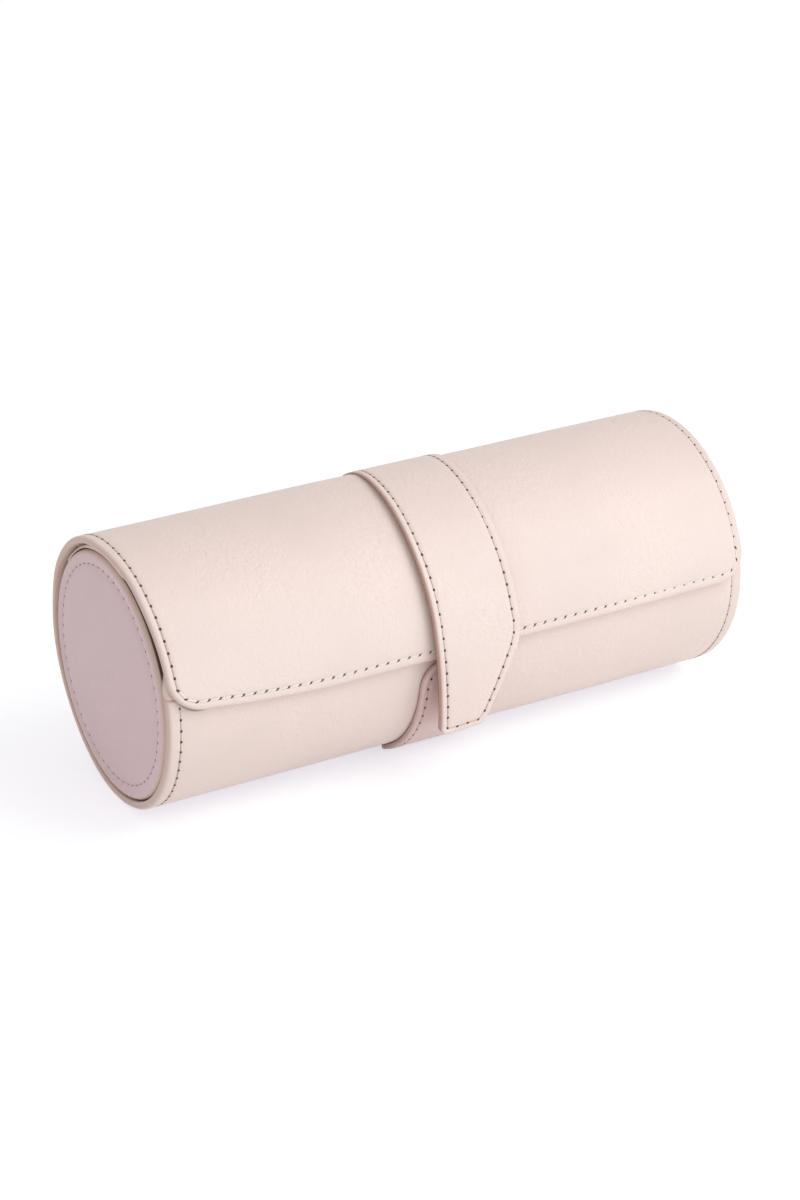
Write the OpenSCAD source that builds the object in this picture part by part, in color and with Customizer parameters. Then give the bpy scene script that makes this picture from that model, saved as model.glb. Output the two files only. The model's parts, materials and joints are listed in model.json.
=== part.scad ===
// Leather watch roll: a round case that lies on its side, with a flap, a strap and three cushions.
// X runs along the roll, -Y is the front, +Z is up. The origin is under the middle of the trough.
// Angles round the roll start level at the front and rise over the top: 0 front, 90 top, 180 back.

/* [Trough] */
// Length of the roll over its leather ends
roll_l = 190; // [150:1:260]
// Outer radius of the trough
case_r = 39.6; // [36:0.1:50]
// Depth of the flat that the roll rests on
base_flat = 0.4; // [0.2:0.1:1]
// Thickness of the trough's outer leather
cover_t = 1.1; // [0.8:0.1:1.6]
// Thickness of the board inside the trough's wall
board_t = 1.3; // [0.8:0.1:2.5]
// Thickness of the soft lining
lining_t = 0.8; // [0.5:0.1:1.5]
// Angle of the trough's front edge
front_a = 14; // [8:1:25]

/* [Ends] */
// Thickness of the leather on an end panel
panel_t = 0.8; // [0.6:0.1:1.2]
// How far a panel's padded face stands out past the leather ends
panel_proud = 0.8; // [0.5:0.1:3]
// Gap between the padded face's side and the wall around it
panel_crease = 0.3; // [0.3:0.1:3]
// Depth of the crease around the padded face, below the leather ends
crease_d = 1.4; // [0.6:0.1:3]
// Radius of the padded face's rounded edge
panel_round = 1.7; // [1:0.1:2.5]
// Thickness of the board behind a panel
end_board_t = 1.8; // [1:0.1:4]
// Width of the hoop that carries the trough's round end on under the flap
hoop_w = 4; // [2:0.5:5]

/* [Flap] */
// How much larger the flap's radius is than the trough's
flap_over = 0.9; // [0.4:0.1:2]
// Thickness of the flap's outer leather
flap_cover_t = 1.0; // [0.7:0.1:1.4]
// Thickness of the flap's board
flap_board_t = 0.7; // [0.5:0.1:1.2]
// Thickness of the flap's lining
flap_lining_t = 0.5; // [0.4:0.1:1]
// Clearance between the closed flap and the trough's front
flap_gap = 0.3; // [0.3:0.1:1]
// Height of the flap's centre above the trough's centre
flap_rise = 0.7; // [0.4:0.1:1]
// Height of the flap's front edge, at mid length, above the flap's centre
flap_edge_rise = 1.7; // [0:0.1:5]
// How much higher the front edge is at the ends than at mid length
flap_edge_bow = 1.8; // [0:0.1:4]
// Radius of the flap's front corners
flap_corner_r = 9; // [3:0.5:14]
// Width of the leather turned over round the flap's board
flap_turn = 1.5; // [1:0.1:3]

/* [Hinge] */
// Angle round the roll at which the flap turns
hinge_a = 140; // [130:1:148]
// Height of the hinge line above the flap's leather
hinge_lift = 0.2; // [0.1:0.1:0.6]
// Clearance between pieces that meet at a hinge line
hinge_gap = 0.3; // [0.3:0.05:0.8]
// Half width of the lining strip over the hinge, as an angle
hinge_strip_a = 7; // [4:0.5:10]

/* [Strap] */
// Width of the strap and of the tab under it
strap_w = 27.8; // [18:0.1:40]
// Place of the strap's middle along the roll
strap_x = 0.8; // [-20:0.1:20]
// Thickness of the outer leather at the strap's tip
strap_leather_t = 1.3; // [0.8:0.1:2]
// Thickness of the back layer at the strap's tip
strap_back_t = 1.1; // [0.6:0.1:1.6]
// Share of its thickness that each layer is pared down to, where the strap comes loose
strap_pare = 0.5; // [0.4:0.05:1]
// Clearance between the strap and the flap, where the strap comes loose
strap_gap = 0.3; // [0.3:0.1:1]
// Clearance between the strap and the flap, where the tip starts to hang
strap_stand = 1.1; // [0.6:0.1:2]
// Angle at which the sewn end of the strap starts, on the flap's back
anchor_a = 126; // [118:1:128]
// Radius of the corners of that sewn end
anchor_corner_r = 4; // [1:0.5:10]
// Angle at which the strap comes loose from the flap
lift_a = 100; // [85:1:110]
// Angle at which the strap leaves the roll and hangs down
tip_a = 16; // [12:1:26]
// Radius of the bend in the hanging tip
tip_bow_r = 85; // [65:1:150]
// Length of the hanging tip
tip_l = 33.2; // [30:0.1:36]
// Width of the tip at its lower end
tip_end_w = 14.5; // [8:0.1:18]
// How much higher the tip's lower end is on its cut side
tip_end_rise = 0.8; // [0:0.1:3]
// Height above the tip's end at which its slanted cut starts
tip_slant_h = 27; // [10:0.5:29]
// Radius of the tip's lower corners
tip_corner_r = 2.5; // [1:0.1:4]
// Radius of the soft corner where the slanted cut starts
tip_shoulder_r = 9; // [3:0.5:14]

/* [Tab] */
// How far the tab's middle lies to the side of the strap's middle
tab_shift = -2.7; // [-6:0.1:6]
// Thickness of the tab's outer leather
tab_leather_t = 1.1; // [0.8:0.1:1.6]
// Thickness of the tab's back layer
tab_back_t = 0.9; // [0.6:0.1:1.4]
// Gap between the flap's front edge and the tab's top
tab_clear = 1.1; // [0.6:0.1:4]
// Angle at which the tab ends, under the roll
tab_end_a = -66; // [-66:1:-50]
// Radius of the tab's top corners
tab_corner_r = 5.5; // [2:0.5:10]

/* [Magnets] */
// Radius of the two closure magnets
magnet_r = 6; // [4:0.5:6.5]
// Angle of the tab's magnet below the trough's centre
magnet_a = 12; // [10:1:18]
// Tilt of the magnets' common axis below level
magnet_tilt = 4; // [0:1:8]
// Distance from the tab's surface to the middle of the gap between the magnets
magnet_reach = 1.8; // [1.5:0.1:2.2]
// Gap between the closed magnets
magnet_gap = 0.4; // [0.3:0.1:0.8]

/* [Bays and cushions] */
// Thickness of the board in a divider
divider_board_t = 1.4; // [1:0.1:3]
// Height of the dividers' tops above the trough's centre
divider_rise = 20; // [5:0.5:24]
// Clearance at each end of a cushion
cushion_end_gap = 1.5; // [0.5:0.1:4]
// Half depth of a cushion, front to back
cushion_a = 30; // [22:0.5:30]
// Half height of a cushion
cushion_b = 25; // [16:0.5:26]
// Clearance between a cushion and the lining under it
cushion_gap = 0.4; // [0.3:0.1:2]
// Thickness of a cushion's cover
cushion_cover_t = 0.8; // [0.5:0.1:1.5]
// How much a cushion narrows from its middle to its ends
cushion_crown = 0.07; // [0:0.01:0.2]
// Squareness of a cushion's ends
cushion_power = 5; // [3:0.5:8]

/* [Hidden] */
$fn = 96;
// Longer than any distance across the roll, for blocks and outlines that trim it
far = 2 * (roll_l + case_r);
// Angle by which a curved wall runs past the outline that trims it
trim_a = 2;

// Trough, measured from its centre
case_z = case_r - base_flat;
case_board_r = case_r - cover_t;
case_in_r = case_board_r - board_t;
bay_r = case_in_r - lining_t;
case_edge_a = asin(cover_t / case_board_r);

// Ends, as distances from mid length
end_x = roll_l / 2;
crease_x = end_x - crease_d;
end_board_x = crease_x - panel_t;
end_inner_x = end_board_x - end_board_t;
bay_end_x = end_inner_x - lining_t;
panel_x = end_x + panel_proud;
end_board_r = case_in_r - panel_t;
pad_r = case_in_r - panel_crease;

// Flap, measured from its centre
flap_t = flap_cover_t + flap_board_t + flap_lining_t;
flap_r = case_r + flap_over;
flap_in_r = flap_r - flap_t;
flap_y = flap_in_r - case_r - flap_gap;
flap_z = case_z + flap_rise;
flap_edge_z = flap_z + flap_edge_rise;
hinge_r = flap_r + hinge_lift;

// Strap: its three faces, from the flap outwards, each [distance forward of the flap's centre, radius].
// face() takes a face's distances from the flap's centre where the tip starts and where it comes loose
function face(tip_r, lift_r) =
    let (forward = (tip_r - lift_r) / (cos(tip_a) - cos(lift_a)))
    [forward, lift_r - forward * cos(lift_a)];
root_in_r = flap_r + strap_stand;
root_r = root_in_r + strap_back_t + strap_leather_t;
lift_in_r = flap_r + strap_gap;
lift_mid_r = lift_in_r + strap_back_t * strap_pare;
strap_inside = face(root_in_r, lift_in_r);
strap_middle = face(root_in_r + strap_back_t, lift_mid_r);
strap_outside = face(root_r, lift_mid_r + strap_leather_t * strap_pare);

// Tip: it goes on from the strap's outside without a kink, round a wider circle
tip_root_a = atan2(root_r * sin(tip_a), root_r * cos(tip_a) - strap_outside[0]);
tip_y = flap_y - strap_outside[0] + (tip_bow_r - strap_outside[1]) * cos(tip_root_a);
tip_z = flap_z - (tip_bow_r - strap_outside[1]) * sin(tip_root_a);
tip_mid_r = tip_bow_r - strap_leather_t;
tip_in_r = tip_mid_r - strap_back_t;
tip_end_a = tip_root_a - tip_l / tip_bow_r * 180 / PI;
tip_end_z = tip_z + tip_bow_r * sin(tip_end_a);
strap_left = strap_x - strap_w / 2;
strap_right = strap_x + strap_w / 2;
// Angles that the clearance at a hinge line takes on the strap and on the tip
strap_gap_a = hinge_gap / lift_in_r * 180 / PI;
tip_gap_a = hinge_gap / tip_in_r * 180 / PI;

// Tab
tab_mid_r = case_r + tab_back_t;
tab_r = tab_mid_r + tab_leather_t;
tab_top_z = flap_edge_z - tab_clear;
tab_top_a = asin((tab_top_z - case_z) / case_r);
tab_x = strap_x + tab_shift;

// Middle of the gap between the magnets
magnet_y = -tab_r * cos(magnet_a) - magnet_reach * cos(magnet_tilt);
magnet_z = case_z - tab_r * sin(magnet_a) - magnet_reach * sin(magnet_tilt);
// Length from which a magnet is cut, enough to reach into its leather
magnet_cut = 8;

// Bays, each with its cushion
bays = 3;
divider_t = divider_board_t + 2 * lining_t;
bay_l = (2 * bay_end_x - (bays - 1) * divider_t) / bays;
bay_pitch = bay_l + divider_t;
cushion_h = bay_l / 2 - cushion_end_gap;
cushion_z = case_z - bay_r + cushion_gap + cushion_b;

// Points round a cushion, rings along it, and points on a rounded corner
cushion_sides = 24;
cushion_rings = 13;
corner_steps = 8;

// Colours
blush = [0.93, 0.85, 0.82];
blush_shade = [0.85, 0.76, 0.74];
suede = [0.86, 0.80, 0.75];
grey_board = [0.62, 0.58, 0.53];
foam = [0.95, 0.93, 0.86];
steel = [0.70, 0.70, 0.72];

// Turns a shape whose axis is Z so that its axis lies along the roll, with angle 0 at the front
module along_roll(y, z) {
    translate([0, y, z]) rotate([90, 0, -90]) children();
}

// Curved wall about an axis (y, z), between two radii, two angles and two places along the roll
module arc_wall(y, z, r_in, r_out, a_from, a_to, x_from, x_to) {
    along_roll(y, z)
        rotate([0, 0, a_from])
            rotate_extrude(angle = a_to - a_from)
                translate([r_in, -x_to])
                    square([r_out - r_in, x_to - x_from]);
}

// Everything below the surface that the roll rests on
module under_floor() {
    translate([-far / 2, -far / 2, -far]) cube([far, far, far]);
}

// The quarter round the flap's centre on the flap's side of the hinge line, and a share past it
module flap_quarter(past) {
    translate([0, flap_y, flap_z])
        rotate([-hinge_a, 0, 0])
            translate([-far / 2, -far, -far]) cube([far, far, far + past]);
}

// The quarter on the case's side of the hinge line, and a share past it
module case_quarter(past) {
    translate([0, flap_y, flap_z])
        rotate([-hinge_a, 0, 0])
            translate([-far / 2, -far, -past]) cube([far, far, far]);
}

// A polygon with rounded corners: each entry of corners is [x, y, radius]
function unit(v) = v / norm(v);
function fillet(before, corner, after, r) =
    let (u = unit([before.x - corner.x, before.y - corner.y]))
    let (v = unit([after.x - corner.x, after.y - corner.y]))
    let (half = acos(u * v) / 2)
    let (centre = [corner.x, corner.y] + unit(u + v) * r / sin(half))
    let (start = [corner.x, corner.y] + u * r / tan(half) - centre)
    let (stop = [corner.x, corner.y] + v * r / tan(half) - centre)
    let (turn = (180 - 2 * half) * sign(start.x * stop.y - start.y * stop.x))
    [for (i = [0:corner_steps])
        let (a = turn * i / corner_steps)
        centre + [start.x * cos(a) - start.y * sin(a), start.x * sin(a) + start.y * cos(a)]];
function rounded(corners) =
    [for (i = [0:len(corners) - 1])
        let (before = corners[(i + len(corners) - 1) % len(corners)])
        let (after = corners[(i + 1) % len(corners)])
        each corners[i].z > 0
            ? fillet(before, corners[i], after, corners[i].z)
            : [[corners[i].x, corners[i].y]]];

// An outline in the upright plane along the roll, carried from front to back
module upright(points) {
    translate([0, far / 2, 0]) rotate([90, 0, 0]) linear_extrude(far) polygon(points);
}

// Trough: the leather is turned over the front edge and over the round ends
module trough_wall(r_in, r_out, a_to, half_l) {
    difference() {
        arc_wall(0, case_z, r_in, r_out, hinge_a - 360 - hinge_strip_a, a_to, -half_l, half_l);
        flap_quarter(hinge_gap / 2);
    }
}

module trough_board() {
    color(grey_board) trough_wall(case_in_r, case_board_r, front_a - case_edge_a, end_x - cover_t);
}

module trough_cover() {
    color(blush) difference() {
        trough_wall(case_in_r, case_r, front_a, end_x);
        trough_wall(case_in_r, case_board_r, front_a - case_edge_a, end_x - cover_t);
        under_floor();
    }
}

module trough_lining() {
    color(suede)
        arc_wall(0, case_z, bay_r, case_in_r, hinge_a + hinge_strip_a - 360, front_a - case_edge_a,
            -end_inner_x, end_inner_x);
}

// Strip of lining across the inside of the hinge, glued to the trough's board only
module hinge_strip() {
    color(suede)
        arc_wall(0, case_z, bay_r, case_in_r, hinge_a - hinge_strip_a, hinge_a + hinge_strip_a,
            -end_inner_x, end_inner_x);
}

// Hoop: the trough's round end, carried on under the flap and just clear of it
module end_hoop(side) {
    mid = side * (end_x - hoop_w / 2);
    color(blush) difference() {
        intersection() {
            arc_wall(0, case_z, case_in_r, case_r, front_a, hinge_a, mid - hoop_w / 2, mid + hoop_w / 2);
            along_roll(flap_y, flap_z) cylinder(h = far, r = flap_in_r - flap_gap, center = true);
        }
        case_quarter(-hinge_gap / 2);
    }
}

// Half section of an end panel's leather and foam, as radius and distance along the roll
module pad_section(r, x_from, x_to, edge) {
    square_l = x_to - x_from;
    translate([0, x_from]) {
        square([r - edge, square_l]);
        square([r, square_l - edge]);
        translate([r - edge, square_l - edge]) intersection() {
            circle(edge);
            square(edge);
        }
    }
}

module foam_section() {
    pad_section(pad_r - panel_t, end_board_x, panel_x - panel_t, panel_round - panel_t);
}

// A body of revolution about the roll's axis, at the left or the right end
module at_end(side) {
    translate([0, 0, case_z]) rotate([0, 90 * side, 0]) rotate_extrude() children();
}

// Leather disc: a padded face, a sunk rim, and a lip turned over the board's edge
module end_panel(side) {
    color(blush_shade) at_end(side) difference() {
        union() {
            pad_section(pad_r, end_board_x, panel_x, panel_round);
            translate([0, end_inner_x]) square([case_in_r, crease_x - end_inner_x]);
        }
        foam_section();
        translate([0, end_inner_x]) square([end_board_r, end_board_t]);
    }
}

module end_foam(side) {
    color(foam) at_end(side) foam_section();
}

module end_board(side) {
    color(grey_board) at_end(side)
        translate([0, end_inner_x]) square([end_board_r, end_board_t]);
}

module end_lining(side) {
    color(suede) at_end(side) translate([0, bay_end_x]) square([bay_r, lining_t]);
}

// Divider: a board inside a folded lining, cut level above the cushions
module divider_disc(side, r, t, top) {
    translate([side * bay_pitch / 2, 0, 0]) difference() {
        translate([-t / 2, 0, case_z]) rotate([0, 90, 0]) cylinder(h = t, r = r);
        translate([-far / 2, -far / 2, case_z + top]) cube([far, far, far]);
    }
}

module divider_board(side) {
    color(grey_board) divider_disc(side, bay_r - lining_t, divider_board_t, divider_rise - lining_t);
}

module divider_cover(side) {
    color(suede) difference() {
        divider_disc(side, bay_r, divider_t, divider_rise);
        divider_disc(side, bay_r - lining_t, divider_board_t, divider_rise - lining_t);
    }
}

// Tab on the trough's front, with round top corners, and a hole for its magnet
function tab_outline() = rounded([
    [tab_x - strap_w / 2, -far, 0],
    [tab_x + strap_w / 2, -far, 0],
    [tab_x + strap_w / 2, tab_top_z, tab_corner_r],
    [tab_x - strap_w / 2, tab_top_z, tab_corner_r]]);

module tab_layer(r_in, r_out) {
    difference() {
        intersection() {
            arc_wall(0, case_z, r_in, r_out, tab_end_a, tab_top_a + trim_a, -end_x, end_x);
            upright(tab_outline());
        }
        tab_magnet_cylinder();
    }
}

module tab_leather() {
    color(blush) tab_layer(tab_mid_r, tab_r);
}

module tab_lining() {
    color(suede) tab_layer(case_r, tab_mid_r);
}

// Places a cylinder on the magnets' axis, starting at the middle of their gap and going out
module on_magnet_axis() {
    translate([tab_x, magnet_y, magnet_z]) rotate([90 + magnet_tilt, 0, 0]) children();
}

module tab_magnet_cylinder() {
    on_magnet_axis() translate([0, 0, -magnet_cut - magnet_gap / 2])
        cylinder(h = magnet_cut, r = magnet_r);
}

module tip_magnet_cylinder() {
    on_magnet_axis() translate([0, 0, magnet_gap / 2])
        cylinder(h = magnet_cut, r = magnet_r);
}

// Magnets: each is glued through its soft back layer, to the wall or the leather behind
module tab_magnet() {
    color(steel) difference() {
        tab_magnet_cylinder();
        along_roll(0, case_z) cylinder(h = far, r = case_r, center = true);
    }
}

module tip_magnet() {
    color(steel) intersection() {
        tip_magnet_cylinder();
        along_roll(tip_y, tip_z) cylinder(h = far, r = tip_mid_r, center = true);
    }
}

// Flap: the leather is turned over the board on three sides, and runs out at the hinge
function flap_outline(inset) =
    let (half = end_x - inset)
    let (corner = flap_corner_r - inset)
    let (low = flap_edge_z + inset)
    let (edge_x = half - corner)
    let (edge_rise = flap_edge_bow * edge_x * edge_x / (end_x * end_x))
    concat(
        [for (i = [-10:9]) [edge_x * i / 10, low + flap_edge_bow * pow(edge_x * i / 10 / end_x, 2)]],
        [for (i = [0:corner_steps])
            let (a = 90 * i / corner_steps)
            [edge_x + corner * sin(a), low + edge_rise + corner * (1 - cos(a))]],
        [[half, far], [-half, far]],
        [for (i = [0:corner_steps - 1])
            let (a = 90 - 90 * i / corner_steps)
            [-edge_x - corner * sin(a), low + edge_rise + corner * (1 - cos(a))]]);

module flap_wall(r_in, r_out, inset) {
    difference() {
        intersection() {
            arc_wall(flap_y, flap_z, r_in, r_out, 0, hinge_a + hinge_strip_a, -end_x, end_x);
            upright(flap_outline(inset));
        }
        case_quarter(hinge_gap / 2);
    }
}

module flap_cover() {
    color(blush) difference() {
        flap_wall(flap_in_r, flap_r, 0);
        flap_wall(flap_in_r, flap_r - flap_cover_t, flap_turn);
    }
}

module flap_board() {
    color(grey_board) flap_wall(flap_in_r + flap_lining_t, flap_r - flap_cover_t, flap_turn);
}

module flap_lining() {
    color(suede) flap_wall(flap_in_r, flap_in_r + flap_lining_t, flap_turn);
}

// Everything within one face of the strap
module within(face) {
    along_roll(flap_y - face[0], flap_z) cylinder(h = roll_l, r = face[1], center = true);
}

// Strap, with two layers, over the flap
module strap_arc(inner, outer, a_from, a_to) {
    intersection() {
        difference() {
            within(outer);
            within(inner);
        }
        arc_wall(flap_y, flap_z, flap_in_r, 2 * flap_r, a_from, a_to, strap_left, strap_right);
    }
}

// Sewn end of the strap on the flap's back, with round corners
module base_layer(inner, outer) {
    outline = rounded([
        [strap_left, -far, 0],
        [strap_right, -far, 0],
        [strap_right, 0, anchor_corner_r],
        [strap_left, 0, anchor_corner_r]]);
    intersection() {
        strap_arc(inner, outer, lift_a, anchor_a + trim_a);
        translate([0, flap_y, flap_z]) rotate([90 - anchor_a, 0, 0]) linear_extrude(far) polygon(outline);
    }
}

module base_leather() {
    color(blush) base_layer(strap_middle, strap_outside);
}

module base_lining() {
    color(suede) base_layer([0, flap_r], strap_middle);
}

// Loose stretch of the strap, over the top of the flap
module strap_leather() {
    color(blush) strap_arc(strap_middle, strap_outside, tip_a, lift_a - strap_gap_a);
}

module strap_lining() {
    color(suede) strap_arc(strap_inside, strap_middle, tip_a, lift_a - strap_gap_a);
}

// Hanging tip: straight on the left, cut at a slant on the right
function tip_outline() = rounded([
    [strap_left, far, 0],
    [strap_left, tip_end_z, tip_corner_r],
    [strap_left + tip_end_w, tip_end_z + tip_end_rise, tip_corner_r],
    [strap_right, tip_end_z + tip_slant_h, tip_shoulder_r],
    [strap_right, far, 0]]);

module tip_layer(r_in, r_out) {
    intersection() {
        arc_wall(tip_y, tip_z, r_in, r_out, tip_end_a - trim_a, tip_root_a - tip_gap_a, -end_x, end_x);
        upright(tip_outline());
    }
}

module tip_leather() {
    color(blush) tip_layer(tip_mid_r, tip_bow_r);
}

module tip_lining() {
    color(suede) difference() {
        tip_layer(tip_in_r, tip_mid_r);
        tip_magnet_cylinder();
    }
}

// Cushion: an oval pillow, fullest at mid length, whose sides draw in towards its rounded ends
function cushion_ring(i) = sin(90 * (2 * i / (cushion_rings + 1) - 1));
function cushion_scale(v) =
    pow(1 - pow(abs(v), cushion_power), 1 / cushion_power) * (1 - cushion_crown * v * v);

module pillow(a, b, half_l) {
    rings = [for (i = [1:cushion_rings])
        let (v = cushion_ring(i))
        let (s = cushion_scale(v))
        for (j = [0:cushion_sides - 1])
            let (t = 360 * j / cushion_sides)
            [half_l * v, a * s * cos(t), b * s * sin(t)]];
    first_tip = len(rings);
    points = concat(rings, [[-half_l, 0, 0], [half_l, 0, 0]]);
    last = (cushion_rings - 1) * cushion_sides;
    sides = [for (i = [0:cushion_rings - 2])
        for (j = [0:cushion_sides - 1])
            let (k = (j + 1) % cushion_sides)
            let (p = i * cushion_sides)
            let (q = p + cushion_sides)
            each [[p + j, q + j, p + k], [p + k, q + j, q + k]]];
    ends = [for (j = [0:cushion_sides - 1])
        let (k = (j + 1) % cushion_sides)
        each [[first_tip, j, k], [first_tip + 1, last + k, last + j]]];
    polyhedron(points = points, faces = concat(sides, ends));
}

module in_bay(place) {
    translate([place * bay_pitch, 0, cushion_z]) children();
}

module cushion_cover(place) {
    color(suede) in_bay(place) difference() {
        pillow(cushion_a, cushion_b, cushion_h);
        pillow(cushion_a - cushion_cover_t, cushion_b - cushion_cover_t, cushion_h - cushion_cover_t);
    }
}

module cushion_foam(place) {
    color(foam) in_bay(place)
        pillow(cushion_a - cushion_cover_t, cushion_b - cushion_cover_t, cushion_h - cushion_cover_t);
}

trough_cover();
trough_board();
trough_lining();
hinge_strip();
end_panel(-1);  // end_panel_left
end_panel(1);  // end_panel_right
end_foam(-1);  // end_foam_left
end_foam(1);  // end_foam_right
end_board(-1);  // end_board_left
end_board(1);  // end_board_right
end_lining(-1);  // end_lining_left
end_lining(1);  // end_lining_right
end_hoop(-1);  // end_hoop_left
end_hoop(1);  // end_hoop_right
divider_cover(-1);  // divider_cover_left
divider_cover(1);  // divider_cover_right
divider_board(-1);  // divider_board_left
divider_board(1);  // divider_board_right
tab_leather();
tab_lining();
tab_magnet();
flap_cover();
flap_board();
flap_lining();
base_leather();
base_lining();
strap_leather();
strap_lining();
tip_leather();
tip_lining();
tip_magnet();
cushion_cover(-1);  // cushion_cover_left
cushion_foam(-1);  // cushion_foam_left
cushion_cover(0);  // cushion_cover_middle
cushion_foam(0);  // cushion_foam_middle
cushion_cover(1);  // cushion_cover_right
cushion_foam(1);  // cushion_foam_right
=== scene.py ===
"""Dressed model of a leather watch roll that lies on its side.

Lengths are in millimetres, and put_mesh() turns them into metres. X runs along the roll, -Y is the
front and +Z is up. Angles round the roll start level at the front and rise over the top.
"""
import json

import bpy
import numpy as np
from mathutils import Matrix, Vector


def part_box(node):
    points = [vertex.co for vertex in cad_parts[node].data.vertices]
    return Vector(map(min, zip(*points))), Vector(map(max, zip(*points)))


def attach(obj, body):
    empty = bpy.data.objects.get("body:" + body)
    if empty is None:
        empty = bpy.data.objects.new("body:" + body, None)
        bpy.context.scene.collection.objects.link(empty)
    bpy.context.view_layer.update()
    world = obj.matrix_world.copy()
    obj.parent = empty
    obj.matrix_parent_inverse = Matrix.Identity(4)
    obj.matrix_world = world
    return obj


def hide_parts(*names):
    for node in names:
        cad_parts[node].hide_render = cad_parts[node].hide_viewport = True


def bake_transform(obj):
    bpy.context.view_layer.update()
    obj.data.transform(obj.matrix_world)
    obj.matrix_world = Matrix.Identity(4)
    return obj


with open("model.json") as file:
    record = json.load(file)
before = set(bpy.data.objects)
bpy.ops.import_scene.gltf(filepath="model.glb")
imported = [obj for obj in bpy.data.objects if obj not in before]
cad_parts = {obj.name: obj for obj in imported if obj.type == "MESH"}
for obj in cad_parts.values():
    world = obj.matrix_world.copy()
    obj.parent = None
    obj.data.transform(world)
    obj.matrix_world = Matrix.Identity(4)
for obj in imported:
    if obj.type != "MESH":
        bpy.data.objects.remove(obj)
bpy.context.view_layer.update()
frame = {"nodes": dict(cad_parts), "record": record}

# Camera: a long lens, above the left end and in front of the roll, where the photograph was taken
# from. It has no shift, and no depth of field.
camera_place = (-0.37798, -0.66657, 0.41865)
camera_azimuth, camera_elevation = np.radians([-29.547, 26.296])
camera_data = bpy.data.cameras.new("camera")
camera_data.sensor_width = 36
camera_data.lens = 85.484
camera = bpy.data.objects.new("camera", camera_data)
bpy.context.scene.collection.objects.link(camera)
back_way = np.array([
    np.sin(camera_azimuth) * np.cos(camera_elevation),
    -np.cos(camera_azimuth) * np.cos(camera_elevation),
    np.sin(camera_elevation)])
right_way = np.array([np.cos(camera_azimuth), np.sin(camera_azimuth), 0.0])
turned = np.column_stack([right_way, np.cross(back_way, right_way), back_way])
camera.matrix_world = Matrix.Translation(camera_place) @ Matrix(turned.tolist()).to_4x4()
bpy.context.scene.camera = camera
bpy.context.scene.view_settings.view_transform = "Standard"

# Studio: a white floor and an even white room, which light the roll from all round, a broad soft
# lamp from the front, the right and above, and a cool low one that opens up the shaded side. The
# floor and the room look white to the camera, and the floor keeps the roll's soft, warm shadow.
room_light = 0.58
floor_white = 0.90
floor_seen = (0.56, 0.60, 0.52)
floor_glow = (0.61, 0.585, 0.66)


def new_nodes(owner):
    """Empties a material's or a world's nodes, and returns two functions: add a node, and join two."""
    owner.use_nodes = True
    tree = owner.node_tree
    tree.nodes.clear()

    def add(kind, **settings):
        node = tree.nodes.new(kind)
        for key, value in settings.items():
            if key in node.inputs:
                node.inputs[key].default_value = value
            else:
                setattr(node, key, value)
        return node

    def join(source, output, target, entry):
        tree.links.new(source.outputs[output], target.inputs[entry])

    return add, join


def seen_directly(add, join):
    """1 on rays that come from the camera, a mirror or glass, and 0 on rays that light the roll."""
    path = add("ShaderNodeLightPath")
    gloss = add("ShaderNodeMath", operation="MAXIMUM")
    join(path, "Is Glossy Ray", gloss, 0)
    join(path, "Is Transmission Ray", gloss, 1)
    seen = add("ShaderNodeMath", operation="MAXIMUM")
    join(path, "Is Camera Ray", seen, 0)
    join(gloss, 0, seen, 1)
    return seen


room = bpy.data.worlds.new("room")
bpy.context.scene.world = room
add, join = new_nodes(room)
lit = add("ShaderNodeBackground", Color=(1.0, 1.0, 1.0, 1), Strength=room_light)
white = add("ShaderNodeBackground", Color=(1, 1, 1, 1), Strength=1.0)
choice = add("ShaderNodeMixShader")
join(seen_directly(add, join), 0, choice, 0)
join(lit, 0, choice, 1)
join(white, 0, choice, 2)
join(choice, 0, add("ShaderNodeOutputWorld"), 0)

floor_material = bpy.data.materials.new("white_floor")
add, join = new_nodes(floor_material)
lit = add("ShaderNodeBsdfDiffuse", Color=(floor_white, floor_white, floor_white, 1))
shaded = add("ShaderNodeBsdfDiffuse", Color=(*floor_seen, 1))
glow = add("ShaderNodeEmission", Color=(*floor_glow, 1), Strength=1.0)
pale = add("ShaderNodeAddShader")
join(shaded, 0, pale, 0)
join(glow, 0, pale, 1)
choice = add("ShaderNodeMixShader")
join(seen_directly(add, join), 0, choice, 0)
join(lit, 0, choice, 1)
join(pale, 0, choice, 2)
join(choice, 0, add("ShaderNodeOutputMaterial"), 0)

floor_half = 4.0
floor_mesh = bpy.data.meshes.new("floor")
floor_mesh.from_pydata(
    [(-floor_half, -floor_half, 0), (floor_half, -floor_half, 0),
     (floor_half, floor_half, 0), (-floor_half, floor_half, 0)], [], [(0, 1, 2, 3)])
floor_mesh.materials.append(floor_material)
floor = bpy.data.objects.new("floor", floor_mesh)
bpy.context.scene.collection.objects.link(floor)


def soft_lamp(name, place, size, share, tone):
    """Square lamp that faces the roll and gives it that share of the plain light level: its power is
    the share times pi squared times its distance squared."""
    data = bpy.data.lights.new(name, "AREA")
    data.shape = "SQUARE"
    data.size = size
    data.color = tone
    place = np.array(place)
    data.energy = share * np.pi**2 * (place @ place)
    lamp = bpy.data.objects.new(name, data)
    away = place / np.linalg.norm(place)
    side = np.cross([0, 0, 1], away)
    side /= np.linalg.norm(side)
    turned = np.column_stack([side, np.cross(away, side), away])
    lamp.matrix_world = Matrix.Translation(place.tolist()) @ Matrix(turned.tolist()).to_4x4()
    bpy.context.scene.collection.objects.link(lamp)


soft_lamp("key_lamp", (0.78, -0.66, 1.15), 1.0, 0.39, (0.95, 0.97, 1.0))
soft_lamp("low_lamp", (0.50, -1.30, 0.20), 1.0, 0.39, (0.80, 0.88, 1.0))

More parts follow.
